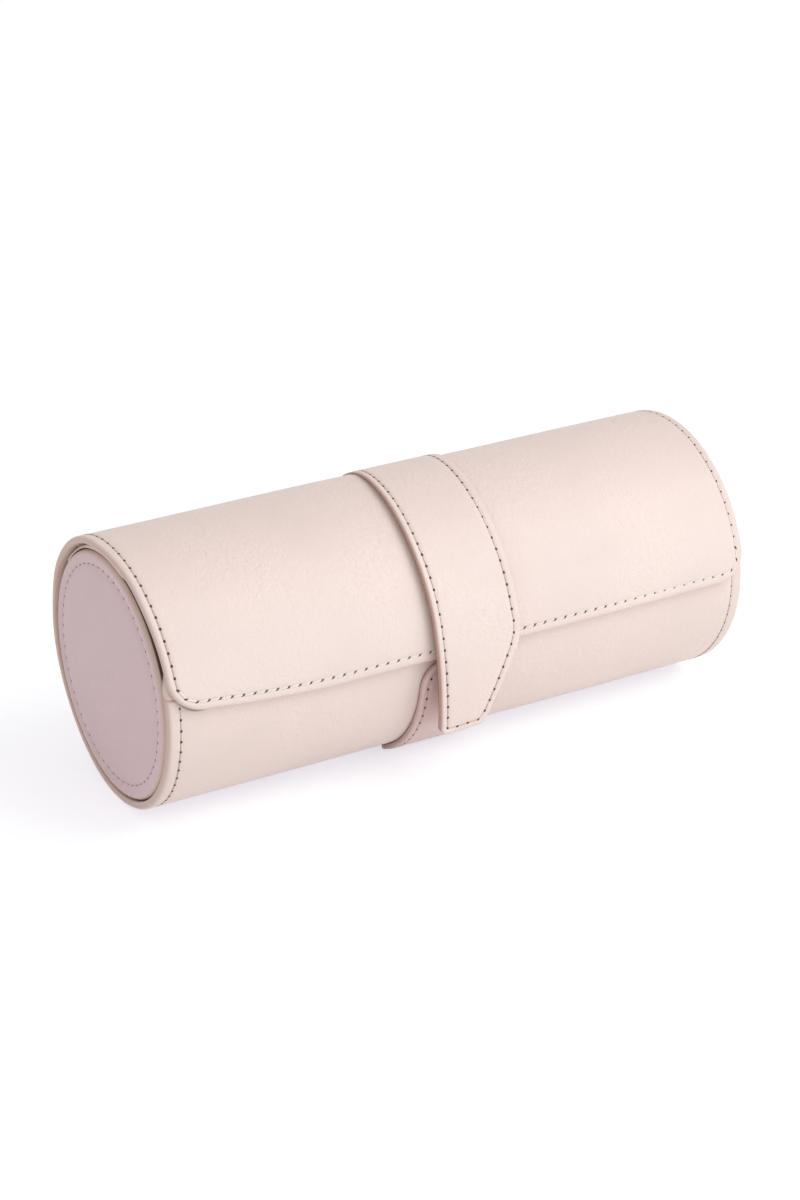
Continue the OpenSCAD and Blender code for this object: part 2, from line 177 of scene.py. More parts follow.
# Flap and back: one sheet of blush leather, from a turned front edge with round corners, over the
# top and the bend at the back, and down under the roll. It is turned over the boards on three
# sides, and rows of stitches run beside that edge and on down the back.
def box_of(node):
    """Lowest and highest corner of one solid of the CAD part, in millimetres."""
    return [np.array(corner) * 1000 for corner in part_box(node)]


end_x, case_r = np.round(box_of("trough_cover")[1][:2], 1)
panel_low, panel_high = box_of("end_panel_left")
case_z = round((panel_low[2] + panel_high[2]) / 2, 1)
flap_r, flap_y, flap_edge_z = 40.5, -1.6, 41.6
flap_z = round(box_of("flap_cover")[1][2] - flap_r, 1)
left_corner_r, right_corner_r = 11.0, 9.0
flap_t, flap_leather_t, flap_turn = 2.2, 1.0, 1.5
trough_t, trough_leather_t, trough_turn = 2.4, 1.1, 1.1
flap_rounds, trough_rounds, round_share, step_w = (1.15, 1.0), (1.2, 0.2), 0.95, 0.2
edge_shade_w = 0.5
hinge_a, hinge_strip_a, bend_half_a, under_a = 140.0, 7.0, 12.0, 270.0
shell_r = (flap_r + case_r) / 2
edge_a = np.degrees(np.arcsin((flap_edge_z - flap_z) / flap_r))
stitch_pitch = 3.5
flap_side_inset, flap_front_inset, tighter_by = 2.5, 3.0, 2.0
# How far the leather stands out past the ends of the boards, at some angles round the roll
left_angles = (-90, -20, 20, 60, 102, 140, 175, 230, 270)
left_stand = (0.6, 0.5, 0.2, 0.9, 2.2, 1.8, 1.1, 0.6, 0.6)
right_angles = (-90, -50, -10, 14, 60, 120, 200, 270)
right_stand = (0.8, 1.8, 2.1, 2.0, 0.6, 0.6, 0.6, 0.8)
flap_right_angles = (0, 60, 120, 200, 270)
flap_right_stand = (1.0, 0.8, 0.6, 0.6, 0.8)
stand_start, stand_ease = 60.0, 35.0
# How far the front edge rises towards the ends, and the leather swells over the top
left_bow, right_bow, bow_start, bow_ease, bow_fade = 2.2, 0.4, 45.0, 40.0, 60.0
corner_lift, corner_lift_start, corner_lift_ease = 1.2, 70.0, 22.0
swell, swell_end, swell_ease = 0.5, 45.0, 70.0
swell_low_a, swell_high_a, swell_ease_a = 80.0, 165.0, 30.0


def put_mesh(name, points, faces, material):
    """Smooth closed mesh from points in millimetres and lists of corner numbers. If its volume, summed
    over the fans of its faces, comes out negative, every face is turned round to point outwards."""
    points = np.asarray(points, float).reshape(-1, 3)
    volume = 0.0
    for group in faces:
        for k in range(1, group.shape[1] - 1):
            a, b, c = points[group[:, 0]], points[group[:, k]], points[group[:, k + 1]]
            volume += np.einsum("ij,ij->", a, np.cross(b, c))
    if volume < 0:
        faces = [group[:, ::-1] for group in faces]
    mesh = bpy.data.meshes.new(name)
    mesh.from_pydata((points / 1000).tolist(), [], [face for group in faces for face in group.tolist()])
    mesh.shade_smooth()
    mesh.set_sharp_from_angle(angle=np.radians(55))
    mesh.materials.append(material)
    piece = bpy.data.objects.new(name, mesh)
    bpy.context.scene.collection.objects.link(piece)
    return piece


def smooth(t):
    """Eases from 0 to 1 as t goes from 0 to 1: three t squared less two t cubed."""
    t = np.clip(t, 0, 1)
    return t * t * (3 - 2 * t)


def mix(a, b, share):
    """a where share is 0, b where it is 1, and evenly between."""
    return a + (b - a) * share


def eased(at, places, values):
    """Value at each place in at, on a line through the given values that levels out at each of them."""
    places, values = np.array(places, float), np.array(values, float)
    k = np.clip(np.searchsorted(places, at) - 1, 0, len(places) - 2)
    return mix(values[k], values[k + 1], smooth((at - places[k]) / (places[k + 1] - places[k])))


def line_distance(flat, line):
    """Distance from each flat point to the nearest stretch of an open line, stretch by stretch."""
    start, stretch = line[:-1], np.diff(line, axis=0)
    away = flat[..., None, :] - start
    along = np.sum(away * stretch, -1) / np.maximum(np.sum(stretch * stretch, -1), 1e-12)
    return np.linalg.norm(away - np.clip(along, 0, 1)[..., None] * stretch, axis=-1).min(-1)


def sheet_grid(rows, left, right, near, middle_step):
    """Flat points (x, s): one row for each s in rows, from left(s) to right(s), crowded at the
    distances near from both sides, or closer where a row is short, and evenly spaced between."""
    x_left, x_right = left(rows)[:, None], right(rows)[:, None]
    width = x_right - x_left
    near = np.asarray(near)
    count = max(2, int(np.ceil((width.max() - 2 * near[-1]) / middle_step)))
    inner = np.linspace(0, 1, count + 1)[None, 1:-1]
    crowd = np.minimum(near[None, :], near / near[-1] * 0.42 * width)
    even = crowd[:, -1:] + (width - 2 * crowd[:, -1:]) * inner
    x = x_left + np.concatenate([crowd, even, width - crowd[:, ::-1]], axis=1)
    return np.stack([x, np.broadcast_to(rows[:, None], x.shape)], -1)


def edge_drop(d, r):
    """How far an edge rounded to radius r has fallen away at distance d from that edge."""
    inside = np.clip(r - d, 0, r)
    return r - np.sqrt(np.maximum(r * r - inside * inside, 0))


def put_attribute(piece, name, values):
    """Stores one number for each point of a piece, which its material reads by that name."""
    attribute = piece.data.attributes.new(name, "FLOAT", "POINT")
    attribute.data.foreach_set("value", np.asarray(values, np.float32).ravel())


def slab(name, top, bottom, edge, material, below=None):
    """Closed mesh between an upper and a lower grid of points, with a wall round their borders. The
    attribute edge, 1 at a finished edge and 0 away from it, lets the leather darken there, partly as
    edge colour and partly as painted shade. Where below is given, that attribute is called rim, and
    edge darkens the lower grid alone, so far: painted shade where the piece meets the one under it."""
    rows, columns = top.shape[:2]
    upper = np.arange(rows * columns).reshape(rows, columns)
    lower = upper + rows * columns

    def quads(grid):
        return np.stack([grid[:-1, :-1], grid[1:, :-1], grid[1:, 1:], grid[:-1, 1:]], -1).reshape(-1, 4)

    rim = np.concatenate([upper[0, :-1], upper[:-1, -1], upper[-1, :0:-1], upper[:0:-1, 0]])
    rim_next = np.roll(rim, -1)
    wall = np.stack([rim_next, rim, rim + rows * columns, rim_next + rows * columns], -1)
    points = np.concatenate([top.reshape(-1, 3), bottom.reshape(-1, 3)])
    piece = put_mesh(name, points, [quads(upper), quads(lower)[:, ::-1], wall], material)
    if below is None:
        put_attribute(piece, "edge", np.tile(edge.ravel(), 2))
    else:
        put_attribute(piece, "rim", np.tile(edge.ravel(), 2))
        put_attribute(piece, "edge", np.concatenate([0 * edge.ravel(), below * edge.ravel()]))
    return piece


def border(grid):
    """The finished edge of a sheet: down its left side, along its last row and up its right side."""
    return np.concatenate([grid[:, 0], grid[-1, 1:], grid[-2::-1, -1]])


def groove(d):
    """Depth of the furrow that the thread pulls into the leather, at distance d from the stitch line:
    a bell curve, 0.22 mm deep."""
    return 0.22 * np.exp(-((d / 0.5) ** 2))


def ripple(x, s):
    """Slow unevenness of hand-worked leather, as a depth: two crossed waves, 0.12 mm together."""
    return 0.07 * np.sin(x / 15 + 1.3 * np.sin(s / 31)) + 0.05 * np.sin(s / 11 + x / 37 + 2)


def shell_angle(s):
    """Angle round the roll at length s from the flap's front edge."""
    return edge_a + np.degrees(s / shell_r)


def shell_length(a):
    """Length from the flap's front edge to an angle round the roll, the other way about."""
    return np.radians(a - edge_a) * shell_r


def shell_share(s):
    """0 on the flap, 1 on the trough's back, easing across the bend."""
    return smooth((shell_angle(s) - hinge_a + bend_half_a) / (2 * bend_half_a))


def on_circle(x, r, a, y=0.0, z=case_z):
    """Point at x along the roll, on a circle of radius r round an axis at y and z: forward by r times
    cosine a, up by r times sine a, and level where the roll stands."""
    return np.stack([x, y - r * np.cos(a), np.maximum(z + r * np.sin(a), 0)], -1)


def shell_place(x, s, depth):
    """Point below the leather's face: on a circle round the flap's axis, which eases across the bend
    into a circle round the trough's axis. The leather swells a little over the top at the left."""
    share, a = shell_share(s), shell_angle(s)
    swollen = swell * smooth((swell_end - x) / swell_ease)
    swollen = swollen * smooth((a - swell_low_a) / swell_ease_a)
    swollen = swollen * smooth((swell_high_a - a) / swell_ease_a)
    r = mix(flap_r, case_r, share) - depth + swollen
    return on_circle(x, r, np.radians(a), mix(flap_y, 0, share), mix(flap_z, case_z, share))


def stand_out(x, left, right):
    """Moves x outwards near the ends, by the left or the right distance, which eases in."""
    return x + np.where(x < 0, -left, right) * smooth((abs(x) - stand_start) / stand_ease)


def let_out(flat):
    """The flap and back as they came out: the ends stand out past the boards, and the front edge
    rises towards both ends, most at the left corner. The rise fades with the length from the edge."""
    x, s = flat[..., 0], flat[..., 1]
    a = shell_angle(s)
    left, right = eased(a, left_angles, left_stand), eased(a, flap_right_angles, flap_right_stand)
    rise = left_bow * smooth((-x - bow_start) / bow_ease)
    rise = rise + right_bow * smooth((x - bow_start) / bow_ease)
    rise = rise + corner_lift * smooth((-x - corner_lift_start) / corner_lift_ease)
    return np.stack([stand_out(x, left, right), s + rise * np.clip(1 - s / bow_fade, 0, 1)], -1)


def side_arc(s, half, r):
    """Half width at length s of a sheet that starts with a corner of radius r, and is then straight."""
    lack = np.clip(r - s, 0, r)
    return half - r + np.sqrt(r**2 - lack**2)


def arc_sides(half, left_r, right_r, middle=0.0):
    """Left and right edge of such a sheet about its middle line, as two functions of length s."""
    return (
        lambda s: middle - side_arc(s, half, left_r),
        lambda s: middle + side_arc(s, half, right_r))


def corner_line(half, far_s, near_s, left_r, right_r, steps=9):
    """Flat line from far_s down the left side, round a corner to near_s, and round one up again."""
    a = np.radians(np.linspace(90, 0, steps))
    left = np.stack([-(half - left_r) - left_r * np.sin(a), near_s + left_r * (1 - np.cos(a))], -1)
    right = np.stack([half - right_r + right_r * np.sin(a), near_s + right_r * (1 - np.cos(a))], -1)
    front_x = np.linspace(-(half - left_r), half - right_r, 41)[1:-1]
    front = np.stack([front_x, 0 * front_x + near_s], -1)
    return np.concatenate([[[-half, far_s]], left, front, right[::-1], [[half, far_s]]])


from_edge = np.array([
    0, 0.1, 0.3, 0.6, 1.0, 1.5, 1.7, 2.1, 2.4, 2.6, 2.8, 3.0, 3.2, 3.4, 3.8, 4.6, 5.8, 7.0])
from_side = [0, 0.1, 0.3, 0.6, 1.0, 1.2, 1.5, 1.7, 2.0, 2.2, 2.4, 2.6, 2.8, 3.1, 3.6, 4.4, 5.6]
fold_back_a, shell_l = 2.0, shell_length(under_a)
bend_rows = shell_length(hinge_a - fold_back_a) + np.arange(-4.0, 4.01, 0.5)
shell_rows = np.concatenate([
    from_edge,
    np.linspace(from_edge[-1], bend_rows[0], 56)[1:-1],
    bend_rows,
    np.linspace(bend_rows[-1], shell_l, 54)[1:]])[::-1]
shell_flat = let_out(sheet_grid(
    shell_rows, *arc_sides(end_x, left_corner_r, right_corner_r), from_side, middle_step=1.6))
flap_stitch_a = 133.0
flap_stitch_line = let_out(corner_line(
    end_x - flap_side_inset, shell_length(flap_stitch_a), flap_front_inset,
    left_corner_r - flap_side_inset - tighter_by, right_corner_r - flap_side_inset - tighter_by))


def turned_sheet(name, flat, place, material, share, stitch_lines):
    """Leather turned over a board's edge, from its flat points: rounded, full depth from the edge
    to the board, thin beyond it, and furrowed along the stitch lines. share goes from flap to trough."""
    x, s = flat[..., 0], flat[..., 1]
    d = line_distance(flat, border(flat))
    upper_r, lower_r = [mix(*rounds, share) for rounds in zip(flap_rounds, trough_rounds)]
    top = edge_drop(d, upper_r) * round_share + ripple(x, s)
    for line in stitch_lines:
        top += groove(line_distance(flat, line))
    past_board = np.maximum(abs(x) + d - end_x, 0)
    turn = mix(flap_turn, trough_turn, share) + np.minimum(past_board, 3)
    deep, thin = mix(flap_t, trough_t, share), mix(flap_leather_t, trough_leather_t, share)
    bottom = mix(deep, thin, smooth((d - turn + step_w / 2) / step_w))
    bottom = bottom - edge_drop(d, lower_r) * round_share
    # Painted shade, with edge colour: the leather darkens towards its finished edges.
    return slab(name, place(x, s, top), place(x, s, bottom), np.exp(-d / edge_shade_w), material)


def leather(name, tone, edge_and_painted_shade_tone, rim_and_painted_light_tone=(0.8, 0.6, 0.5)):
    """Smooth grained leather: a slow drift of tone, fine pebbles and pores, and two edge tones, which
    show where the attributes rim and edge of the piece say. Besides edge colour, the edge tone paints
    shade in creases, gaps and under edges, and the rim tone paints light on the panels' rims."""
    material = bpy.data.materials.new(name)
    add, join = new_nodes(material)
    where = add("ShaderNodeTexCoord")
    drift = add("ShaderNodeTexNoise", Scale=28.0, Detail=3.0)
    pebbles = add("ShaderNodeTexVoronoi", feature="SMOOTH_F1", Scale=1250.0, Smoothness=0.5)
    pores = add("ShaderNodeTexNoise", Scale=2600.0, Detail=2.0)
    creases = add("ShaderNodeTexNoise", Scale=210.0, Detail=4.0, Roughness=0.6)
    wrinkles = add("ShaderNodeTexNoise", Scale=560.0, Detail=3.0, Roughness=0.65, Distortion=0.7)
    for texture in (drift, pebbles, pores, creases, wrinkles):
        join(where, "Object", texture, "Vector")
    tones = add("ShaderNodeValToRGB")
    tones.color_ramp.elements[0].position, tones.color_ramp.elements[1].position = 0.3, 0.7
    tones.color_ramp.elements[0].color = [0.955 * c for c in tone] + [1]
    tones.color_ramp.elements[1].color = [min(1.03 * c, 0.95) for c in tone] + [1]
    join(drift, "Fac", tones, "Fac")
    edged, output = tones, "Color"
    for attribute, shade in (("rim", rim_and_painted_light_tone), ("edge", edge_and_painted_shade_tone)):
        beside_edge = add("ShaderNodeAttribute", attribute_name=attribute)
        mixed = add("ShaderNodeMix", data_type="RGBA")
        mixed.inputs["B"].default_value = (*shade, 1)
        join(beside_edge, "Fac", mixed, "Factor")
        join(edged, output, mixed, "A")
        edged, output = mixed, "Result"
    gloss = add("ShaderNodeMapRange")
    gloss.inputs["To Min"].default_value, gloss.inputs["To Max"].default_value = 0.36, 0.54
    join(creases, "Fac", gloss, "Value")
    height = add("ShaderNodeMath", operation="MULTIPLY_ADD")
    height.inputs[1].default_value = 0.5
    join(pebbles, "Distance", height, 0)
    join(pores, "Fac", height, 2)
    fine = add("ShaderNodeBump", Strength=0.8, Distance=0.00006)
    join(height, 0, fine, "Height")
    worn = add("ShaderNodeMapRange")
    worn.inputs["From Min"].default_value, worn.inputs["From Max"].default_value = 0.42, 0.62
    worn.inputs["To Max"].default_value = 0.55
    join(drift, "Fac", worn, "Value")
    small = add("ShaderNodeBump", Distance=0.0006)
    join(worn, 0, small, "Strength")
    join(wrinkles, "Fac", small, "Height")
    join(fine, "Normal", small, "Normal")
    broad = add("ShaderNodeBump", Strength=0.45, Distance=0.00035)
    join(creases, "Fac", broad, "Height")
    join(small, "Normal", broad, "Normal")
    shader = add("ShaderNodeBsdfPrincipled")
    shader.inputs["Specular IOR Level"].default_value = 0.38
    shader.inputs["Sheen Weight"].default_value = 0.05
    join(edged, "Result", shader, "Base Color")
    join(gloss, 0, shader, "Roughness")
    join(broad, "Normal", shader, "Normal")
    join(shader, 0, add("ShaderNodeOutputMaterial"), 0)
    return material


# Blush leather: its edge tone darkens the turned edges, partly as edge colour and partly as painted
# shade.
blush = leather("blush_leather", (0.86, 0.70, 0.63), (0.74, 0.54, 0.47))


def across_bend(piece):
    """Bakes a piece's placing into its mesh, and returns it."""
    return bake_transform(piece)


trough_inset, past_under = 3.7, 0.5


def side_lines(s, as_it_came_out):
    """Two stitch lines along lengths s, one beside each end of the roll, let out with the leather."""
    return [
        as_it_came_out(np.stack([0 * s + side * (end_x - trough_inset), s], -1)) for side in (-1, 1)]


back_stitch_lines = side_lines(
    np.linspace(shell_length(hinge_a + hinge_strip_a), shell_l + past_under, 60), let_out)
shell = turned_sheet(
    "flap_and_back_leather", shell_flat, shell_place, blush, shell_share(shell_flat[..., 1]),
    [flap_stitch_line, *back_stitch_lines])
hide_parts("flap_cover")
across_bend(shell)

# Trough front: the same leather, which is glued round the trough's board, from under the roll up to
# the turned edge that the flap covers. A row of stitches runs beside either end.
trough_front_a, trough_front_inset = 14.0, 3.0
front_l = np.radians(trough_front_a - under_a + 360) * case_r


def front_place(x, s, depth):
    """Point below the trough's face, at length s down from the front edge, on the trough's circle."""
    return on_circle(x, case_r - depth, np.radians(trough_front_a) - s / case_r)


front_rows = np.concatenate([[0, 0.1, 0.3, 0.6, 1.0, 1.2, 1.6], np.linspace(2.2, front_l, 48)])[::-1]


def let_out_front(flat):
    """The trough's front as it came out: its ends stand out past the board, most at the right."""
    x, a = flat[..., 0], trough_front_a - np.degrees(flat[..., 1] / case_r)
    left, right = eased(a, left_angles, left_stand), eased(a, right_angles, right_stand)
    return np.stack([stand_out(x, left, right), flat[..., 1]], -1)


front_flat = let_out_front(sheet_grid(front_rows, *arc_sides(end_x, 0, 0), from_side, middle_step=1.6))
front_stitch_lines = side_lines(np.linspace(trough_front_inset, front_l + past_under, 60), let_out_front)
trough_front = turned_sheet(
    "trough_front_leather", front_flat, front_place, blush, 1.0, front_stitch_lines)
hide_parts("trough_cover")
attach(trough_front, "case")

# Saddle stitches: pale waxed thread, seven stitches to the inch, that goes down through an oblique
# awl hole at each end and is pulled a little into the leather.
front_thread_r = 0.30
front_hole, small_hole = (0.72, 0.30), (0.34, 0.24)
thread_tone = (0.88, 0.78, 0.73)
# A darker brown copy of the thread, painted shade of the thread in its furrow, is used on the rows that
# get no other thread.
thread_painted_shade_tone = (0.64, 0.50, 0.45)
# The awl holes are near-black patches: painted shade inside the holes.
hole_painted_shade_tone = (0.10, 0.05, 0.045)


def plain_material(name, tone, roughness, grain):
    """One tone, mottled a little by fine noise, with a matching fine bump."""
    material = bpy.data.materials.new(name)
    add, join = new_nodes(material)
    where = add("ShaderNodeTexCoord")
    noise = add("ShaderNodeTexNoise", Scale=grain, Detail=2.0)
    join(where, "Object", noise, "Vector")
    tones = add("ShaderNodeValToRGB")
    tones.color_ramp.elements[0].color = [0.86 * c for c in tone] + [1]
    tones.color_ramp.elements[1].color = [min(1.1 * c, 0.95) for c in tone] + [1]
    join(noise, "Fac", tones, "Fac")
    bump = add("ShaderNodeBump", Strength=0.3, Distance=0.0001)
    join(noise, "Fac", bump, "Height")
    shader = add("ShaderNodeBsdfPrincipled", Roughness=roughness)
    join(tones, "Color", shader, "Base Color")
    join(bump, "Normal", shader, "Normal")
    join(shader, 0, add("ShaderNodeOutputMaterial"), 0)
    return material


thread_material = plain_material("waxed_thread", thread_tone, 0.5, 3000.0)
thread_painted_shade = plain_material("rubbed_thread", thread_painted_shade_tone, 0.6, 3000.0)
hole_painted_shade = plain_material("awl_hole", hole_painted_shade_tone, 0.9, 2000.0)


def unit(v):
    """Each vector in v, made one long."""
    return v / np.linalg.norm(v, axis=-1, keepdims=True)


def even_points(line, step):
    """Points evenly spaced along a flat line, about step apart."""
    lengths = np.concatenate([[0], np.cumsum(np.linalg.norm(np.diff(line, axis=0), axis=1))])
    at = np.linspace(0, lengths[-1], max(2, round(lengths[-1] / step) + 1))
    return np.stack([np.interp(at, lengths, line[:, k]) for k in range(2)], -1)


def tube_faces(count, rings, sides):
    """Quads between the rings of count separate tubes, and a flat cap on both ends of each."""
    n = np.arange(count * rings * sides).reshape(count, rings, sides)
    n_next = np.roll(n, -1, axis=2)
    walls = np.stack([n[:, :-1], n_next[:, :-1], n_next[:, 1:], n[:, 1:]], -1).reshape(-1, 4)
    return [walls, n[:, 0, ::-1].reshape(-1, sides), n[:, -1].reshape(-1, sides)]


def sew(
        name, place, line, sink=0.18, hole=(0.50, 0.38), slant=0.0, closed=False, girth=0.20,
        thread=None):
    """A row of stitches along a flat line. Each thread is a six-sided tube from hole to hole that
    swells to its girth and arches, in the darker thread that paints its shade unless one is given.
    Each hole is a flat eight-sided lens, of two half sizes, which lies at a slant to the row, in a
    dark material that paints the shade inside the hole."""
    flat = even_points(line, stitch_pitch)
    spot = place(flat[:, 0], flat[:, 1], sink)
    normal = unit(place(flat[:, 0], flat[:, 1], sink - 0.1) - spot)
    if closed:
        spot, normal = spot[:-1], normal[:-1]
        way = unit(np.roll(spot, -1, 0) - np.roll(spot, 1, 0))
        start, stop = spot, np.roll(spot, -1, 0)
    else:
        way = unit(np.gradient(spot, axis=0))
        start, stop = spot[:-1], spot[1:]
    across = np.cross(normal, way)
    t = np.array([0.0, 0.10, 0.26, 0.5, 0.74, 0.90, 1.0])[None, :, None]
    girth = girth * np.array([0.45, 0.9, 1.0, 1.0, 1.0, 0.9, 0.45])
    arch = np.array([-0.30, -0.08, 0.02, 0.05, 0.02, -0.08, -0.30])
    n, b = normal[:len(start), None], across[:len(start), None]
    spine = start[:, None] + (stop - start)[:, None] * t + n * arch[None, :, None]
    spine = spine + b * (t - 0.5) * 0.3 * np.sin(slant)
    turn = np.radians(np.arange(0, 360, 60))
    ring = b[:, :, None] * np.cos(turn)[:, None] + n[:, :, None] * np.sin(turn)[:, None]
    threads = spine[:, :, None] + ring * girth[None, :, None, None]
    faces = tube_faces(*threads.shape[:3])
    turn = np.radians(np.arange(0, 360, 45))
    lie = way * np.cos(slant) + across * np.sin(slant)
    cross = np.cross(normal, lie)
    height = np.array([-0.22, 0.0, 0.05])[None, :, None, None]
    spread = np.array([0.3, 1.0, 0.45])[None, :, None, None]
    oval = lie[:, None, None] * np.cos(turn)[:, None] * hole[0]
    oval = oval + cross[:, None, None] * np.sin(turn)[:, None] * hole[1]
    holes = spot[:, None, None] + oval * spread + normal[:, None, None] * (height + sink * 0.35)
    shift = threads.size // 3
    faces += [group + shift for group in tube_faces(*holes.shape[:3])]
    points = np.concatenate([threads.reshape(-1, 3), holes.reshape(-1, 3)])
    piece = put_mesh(name, points, faces, thread or thread_painted_shade)
    piece.data.materials.append(hole_painted_shade)
    which = np.repeat([0, 0, 0, 1, 1, 1], [len(group) for group in faces])
    piece.data.polygons.foreach_set("material_index", which.astype(np.int32))
    return piece


front_slant = np.radians(25)
flap_holes = even_points(flap_stitch_line, stitch_pitch)
front_holes = np.flatnonzero(flap_holes[:, 1] < left_corner_r)
across_bend(sew("flap_stitches_left", shell_place, flap_holes[:front_holes[0] + 1]))
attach(sew(
    "flap_stitches_front", shell_place, flap_holes[front_holes[0]:front_holes[-1] + 1],
    hole=front_hole, slant=front_slant, girth=front_thread_r, thread=thread_material), "flap")
across_bend(sew(
    "flap_stitches_right", shell_place, flap_holes[front_holes[-1]:],
    hole=small_hole, thread=thread_material))
for side, line in zip(("left", "right"), back_stitch_lines):
    across_bend(sew(f"back_stitches_{side}", shell_place, line))
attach(sew("trough_stitches_left", front_place, front_stitch_lines[0]), "case")
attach(sew("trough_stitches_right", front_place, front_stitch_lines[1], hole=small_hole), "case")

# End panels: leather discs over a soft pad, sewn round near the rim, which stand a little out of
# the trough's ends. The leather's lip is turned round the board behind.
panel_x = round(-panel_low[0], 1)
panel_r, panel_lip_r, panel_round = 36.75, 37.2, 1.7
panel_stitch_r = 33.0
crease_x, board_x, board_back_x = 93.6, 92.8, 91.0
board_r = 36.4
panel_dome, panel_dip = 0.7, 0.55
panel_dip_w, rim_w, rim_fade, crease_dark, crease_fade = 1.3, 1.1, 0.5, 1.1, 0.35
# The panels' leather is a darker, lilac copy of the blush leather: painted shade of the shaded end, on
# both ends.
panel_painted_shade_leather = leather("panel_leather", (0.82, 0.60, 0.62), (0.12, 0.07, 0.055), (0.76, 0.56, 0.47))
front_inset, panel_hole = 0.9, (0.62, 0.54)
panel_turns = round(2 * np.pi * panel_stitch_r / stitch_pitch)


def panel_ring(a):
    """Radius of the stitch ring, which lies a little further in towards the front."""
    return panel_stitch_r - front_inset * (1 + np.cos(a)) / 2


def panel_face(r, a):
    """Distance out along the roll of a panel's face: a low dome, pulled down along the stitch ring
    and most at each hole, then round to the rim."""
    dome = panel_dome * np.clip(1 - (r / panel_ring(a)) ** 2, 0, 1)
    pull = 0.8 + 0.2 * np.cos(a * panel_turns)
    dip = panel_dip * pull * np.exp(-(((r - panel_ring(a)) / panel_dip_w) ** 2))
    return panel_x + dome - dip - edge_drop(panel_r - r, panel_round)


for side, name in ((-1, "left"), (1, "right")):
    a = np.linspace(0, 2 * np.pi, 6 * panel_turns + 1)[:-1][None, :]
    face_r = np.concatenate([
        np.linspace(0.4, 28, 12),
        [29.3, 30.3, 31.0, 31.5, 31.9, 32.2, 32.5, 32.8, 33.1, 33.5, 34.0, 34.6, 35.0],
        panel_r - panel_round + panel_round * np.sin(np.radians(np.arange(10, 91, 10)))])[:, None]
    lip_r = np.array([panel_r, panel_lip_r, panel_lip_r, board_r, board_r, 0.4])[:, None]
    lip_x = np.array([crease_x, crease_x, board_back_x, board_back_x, board_x, board_x])[:, None]
    r = np.concatenate([face_r, lip_r]) + 0 * a
    out = np.concatenate([panel_face(face_r, a), lip_x + 0 * a])
    points = on_circle(side * out, r, a)
    panel = put_mesh(f"end_panel_leather_{name}", points, tube_faces(1, *r.shape), panel_painted_shade_leather)
    # Painted light: the rounded rim is tan, as it looks where it catches the light, beside the lilac
    # face.
    put_attribute(panel, "rim", smooth((r - panel_r + rim_w) / rim_fade))
    # Painted shade: the leather goes near black in the crease behind the rim.
    put_attribute(panel, "edge", smooth((crease_x + crease_dark - out) / crease_fade))
    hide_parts(f"end_panel_{name}")
    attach(panel, "case")

    def panel_place(x, s, depth, side=side):
        """Point at depth below a panel's face, where x is its radius and s its angle times radius."""
        a = s / panel_stitch_r
        return on_circle(side * (panel_face(x, a) - depth), x, a)

    ring_a = np.linspace(0, 2 * np.pi, 361)
    ring = np.stack([panel_ring(ring_a), ring_a * panel_stitch_r], -1)
    row = sew(f"panel_stitches_{name}", panel_place, ring, sink=0.0, hole=panel_hole, closed=True)
    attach(row, "case")

# Hoops: the trough's round ends are carried on under the flap by a band of stiff leather, which
# sinks back towards the front and leaves a dark gap beside the panel. The band's sunk outer edge
# is near black there, as painted shade in the gap.
hoop_blush = leather("hoop_leather", (0.86, 0.68, 0.62), (0.12, 0.07, 0.055))
hoop_round, hoop_gap, hoop_end_a = 0.8, 0.3, 137.4
hoop_sink, hoop_sink_a, hoop_sink_ease, hoop_front_a, hoop_front_ease = 2.2, 76.0, 16.0, 17.0, 15.0
for side, name in ((-1, "left"), (1, "right")):
    hoop_low, hoop_high = box_of(f"end_hoop_{name}")
    hoop_w = hoop_high[0] - hoop_low[0]
    a = np.radians(np.linspace(trough_front_a, hoop_end_a, 90))[:, None]
    below_flap = flap_r - flap_t - hoop_gap
    outer = np.minimum(case_r, below_flap - flap_y * np.cos(a) + (flap_z - case_z) * np.sin(a))
    turn = np.radians(np.array([0, 20, 45, 70, 90]))
    across = np.concatenate([[0, 0], hoop_w - hoop_round * (1 - np.sin(turn)), [hoop_w]])
    fall = np.concatenate([[1, 0.1], hoop_round * (1 - np.cos(turn)), [1]])
    r = outer - fall[None, :]
    r[:, [0, -1]] = panel_lip_r
    sunk = hoop_sink * smooth((hoop_sink_a - np.degrees(a)) / hoop_sink_ease)
    sunk = sunk * smooth((np.degrees(a) - hoop_front_a) / hoop_front_ease)
    x = side * (end_x - hoop_w + across[None, :] * (1 - sunk / hoop_w))
    hoop = put_mesh(
        f"end_hoop_leather_{name}", on_circle(x, r, a), tube_faces(1, *r.shape), hoop_blush)
    # Painted shade: near black on the sunk rounded edge, in the gap.
    put_attribute(hoop, "edge", sunk / hoop_sink * (across > hoop_w - hoop_round) + 0 * r)
    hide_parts(f"end_hoop_{name}")
    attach(hoop, "case")

# Strap: two layers of leather, glued and sewn, from an end sewn to the flap's back, where they are
# pared down, over the top, to a hanging tip that is cut at a slant. It curves away where it comes
# loose and at the tip's root, and it is made as two lengths that meet over the top.
strap_left, strap_right = [round(corner[0], 1) for corner in box_of("strap_leather")]
strap_half, strap_mid = (strap_right - strap_left) / 2, (strap_left + strap_right) / 2
strap_leather_t, strap_back_t, strap_pare = 1.3, 1.1, 0.5
strap_t = strap_leather_t + strap_back_t
strap_gap, strap_stand = 0.3, 1.1
cut_shade_w, cut_shade = 0.2, 0.9
strap_drift, drift_start_a, drift_span_a = 0.0009, 40.0, 70.0
anchor_a, lift_a, strap_split_a, tip_a = 126.0, 100.0, 62.0, 16.0
tip_bow_r, tip_l = 85.0, 33.2
tip_end_w, tip_end_rise, tip_slant_l = 14.5, 0.8, 27.3
tip_corner_r, tip_shoulder_r, anchor_corner_r = 2.5, 22.0, 4.0
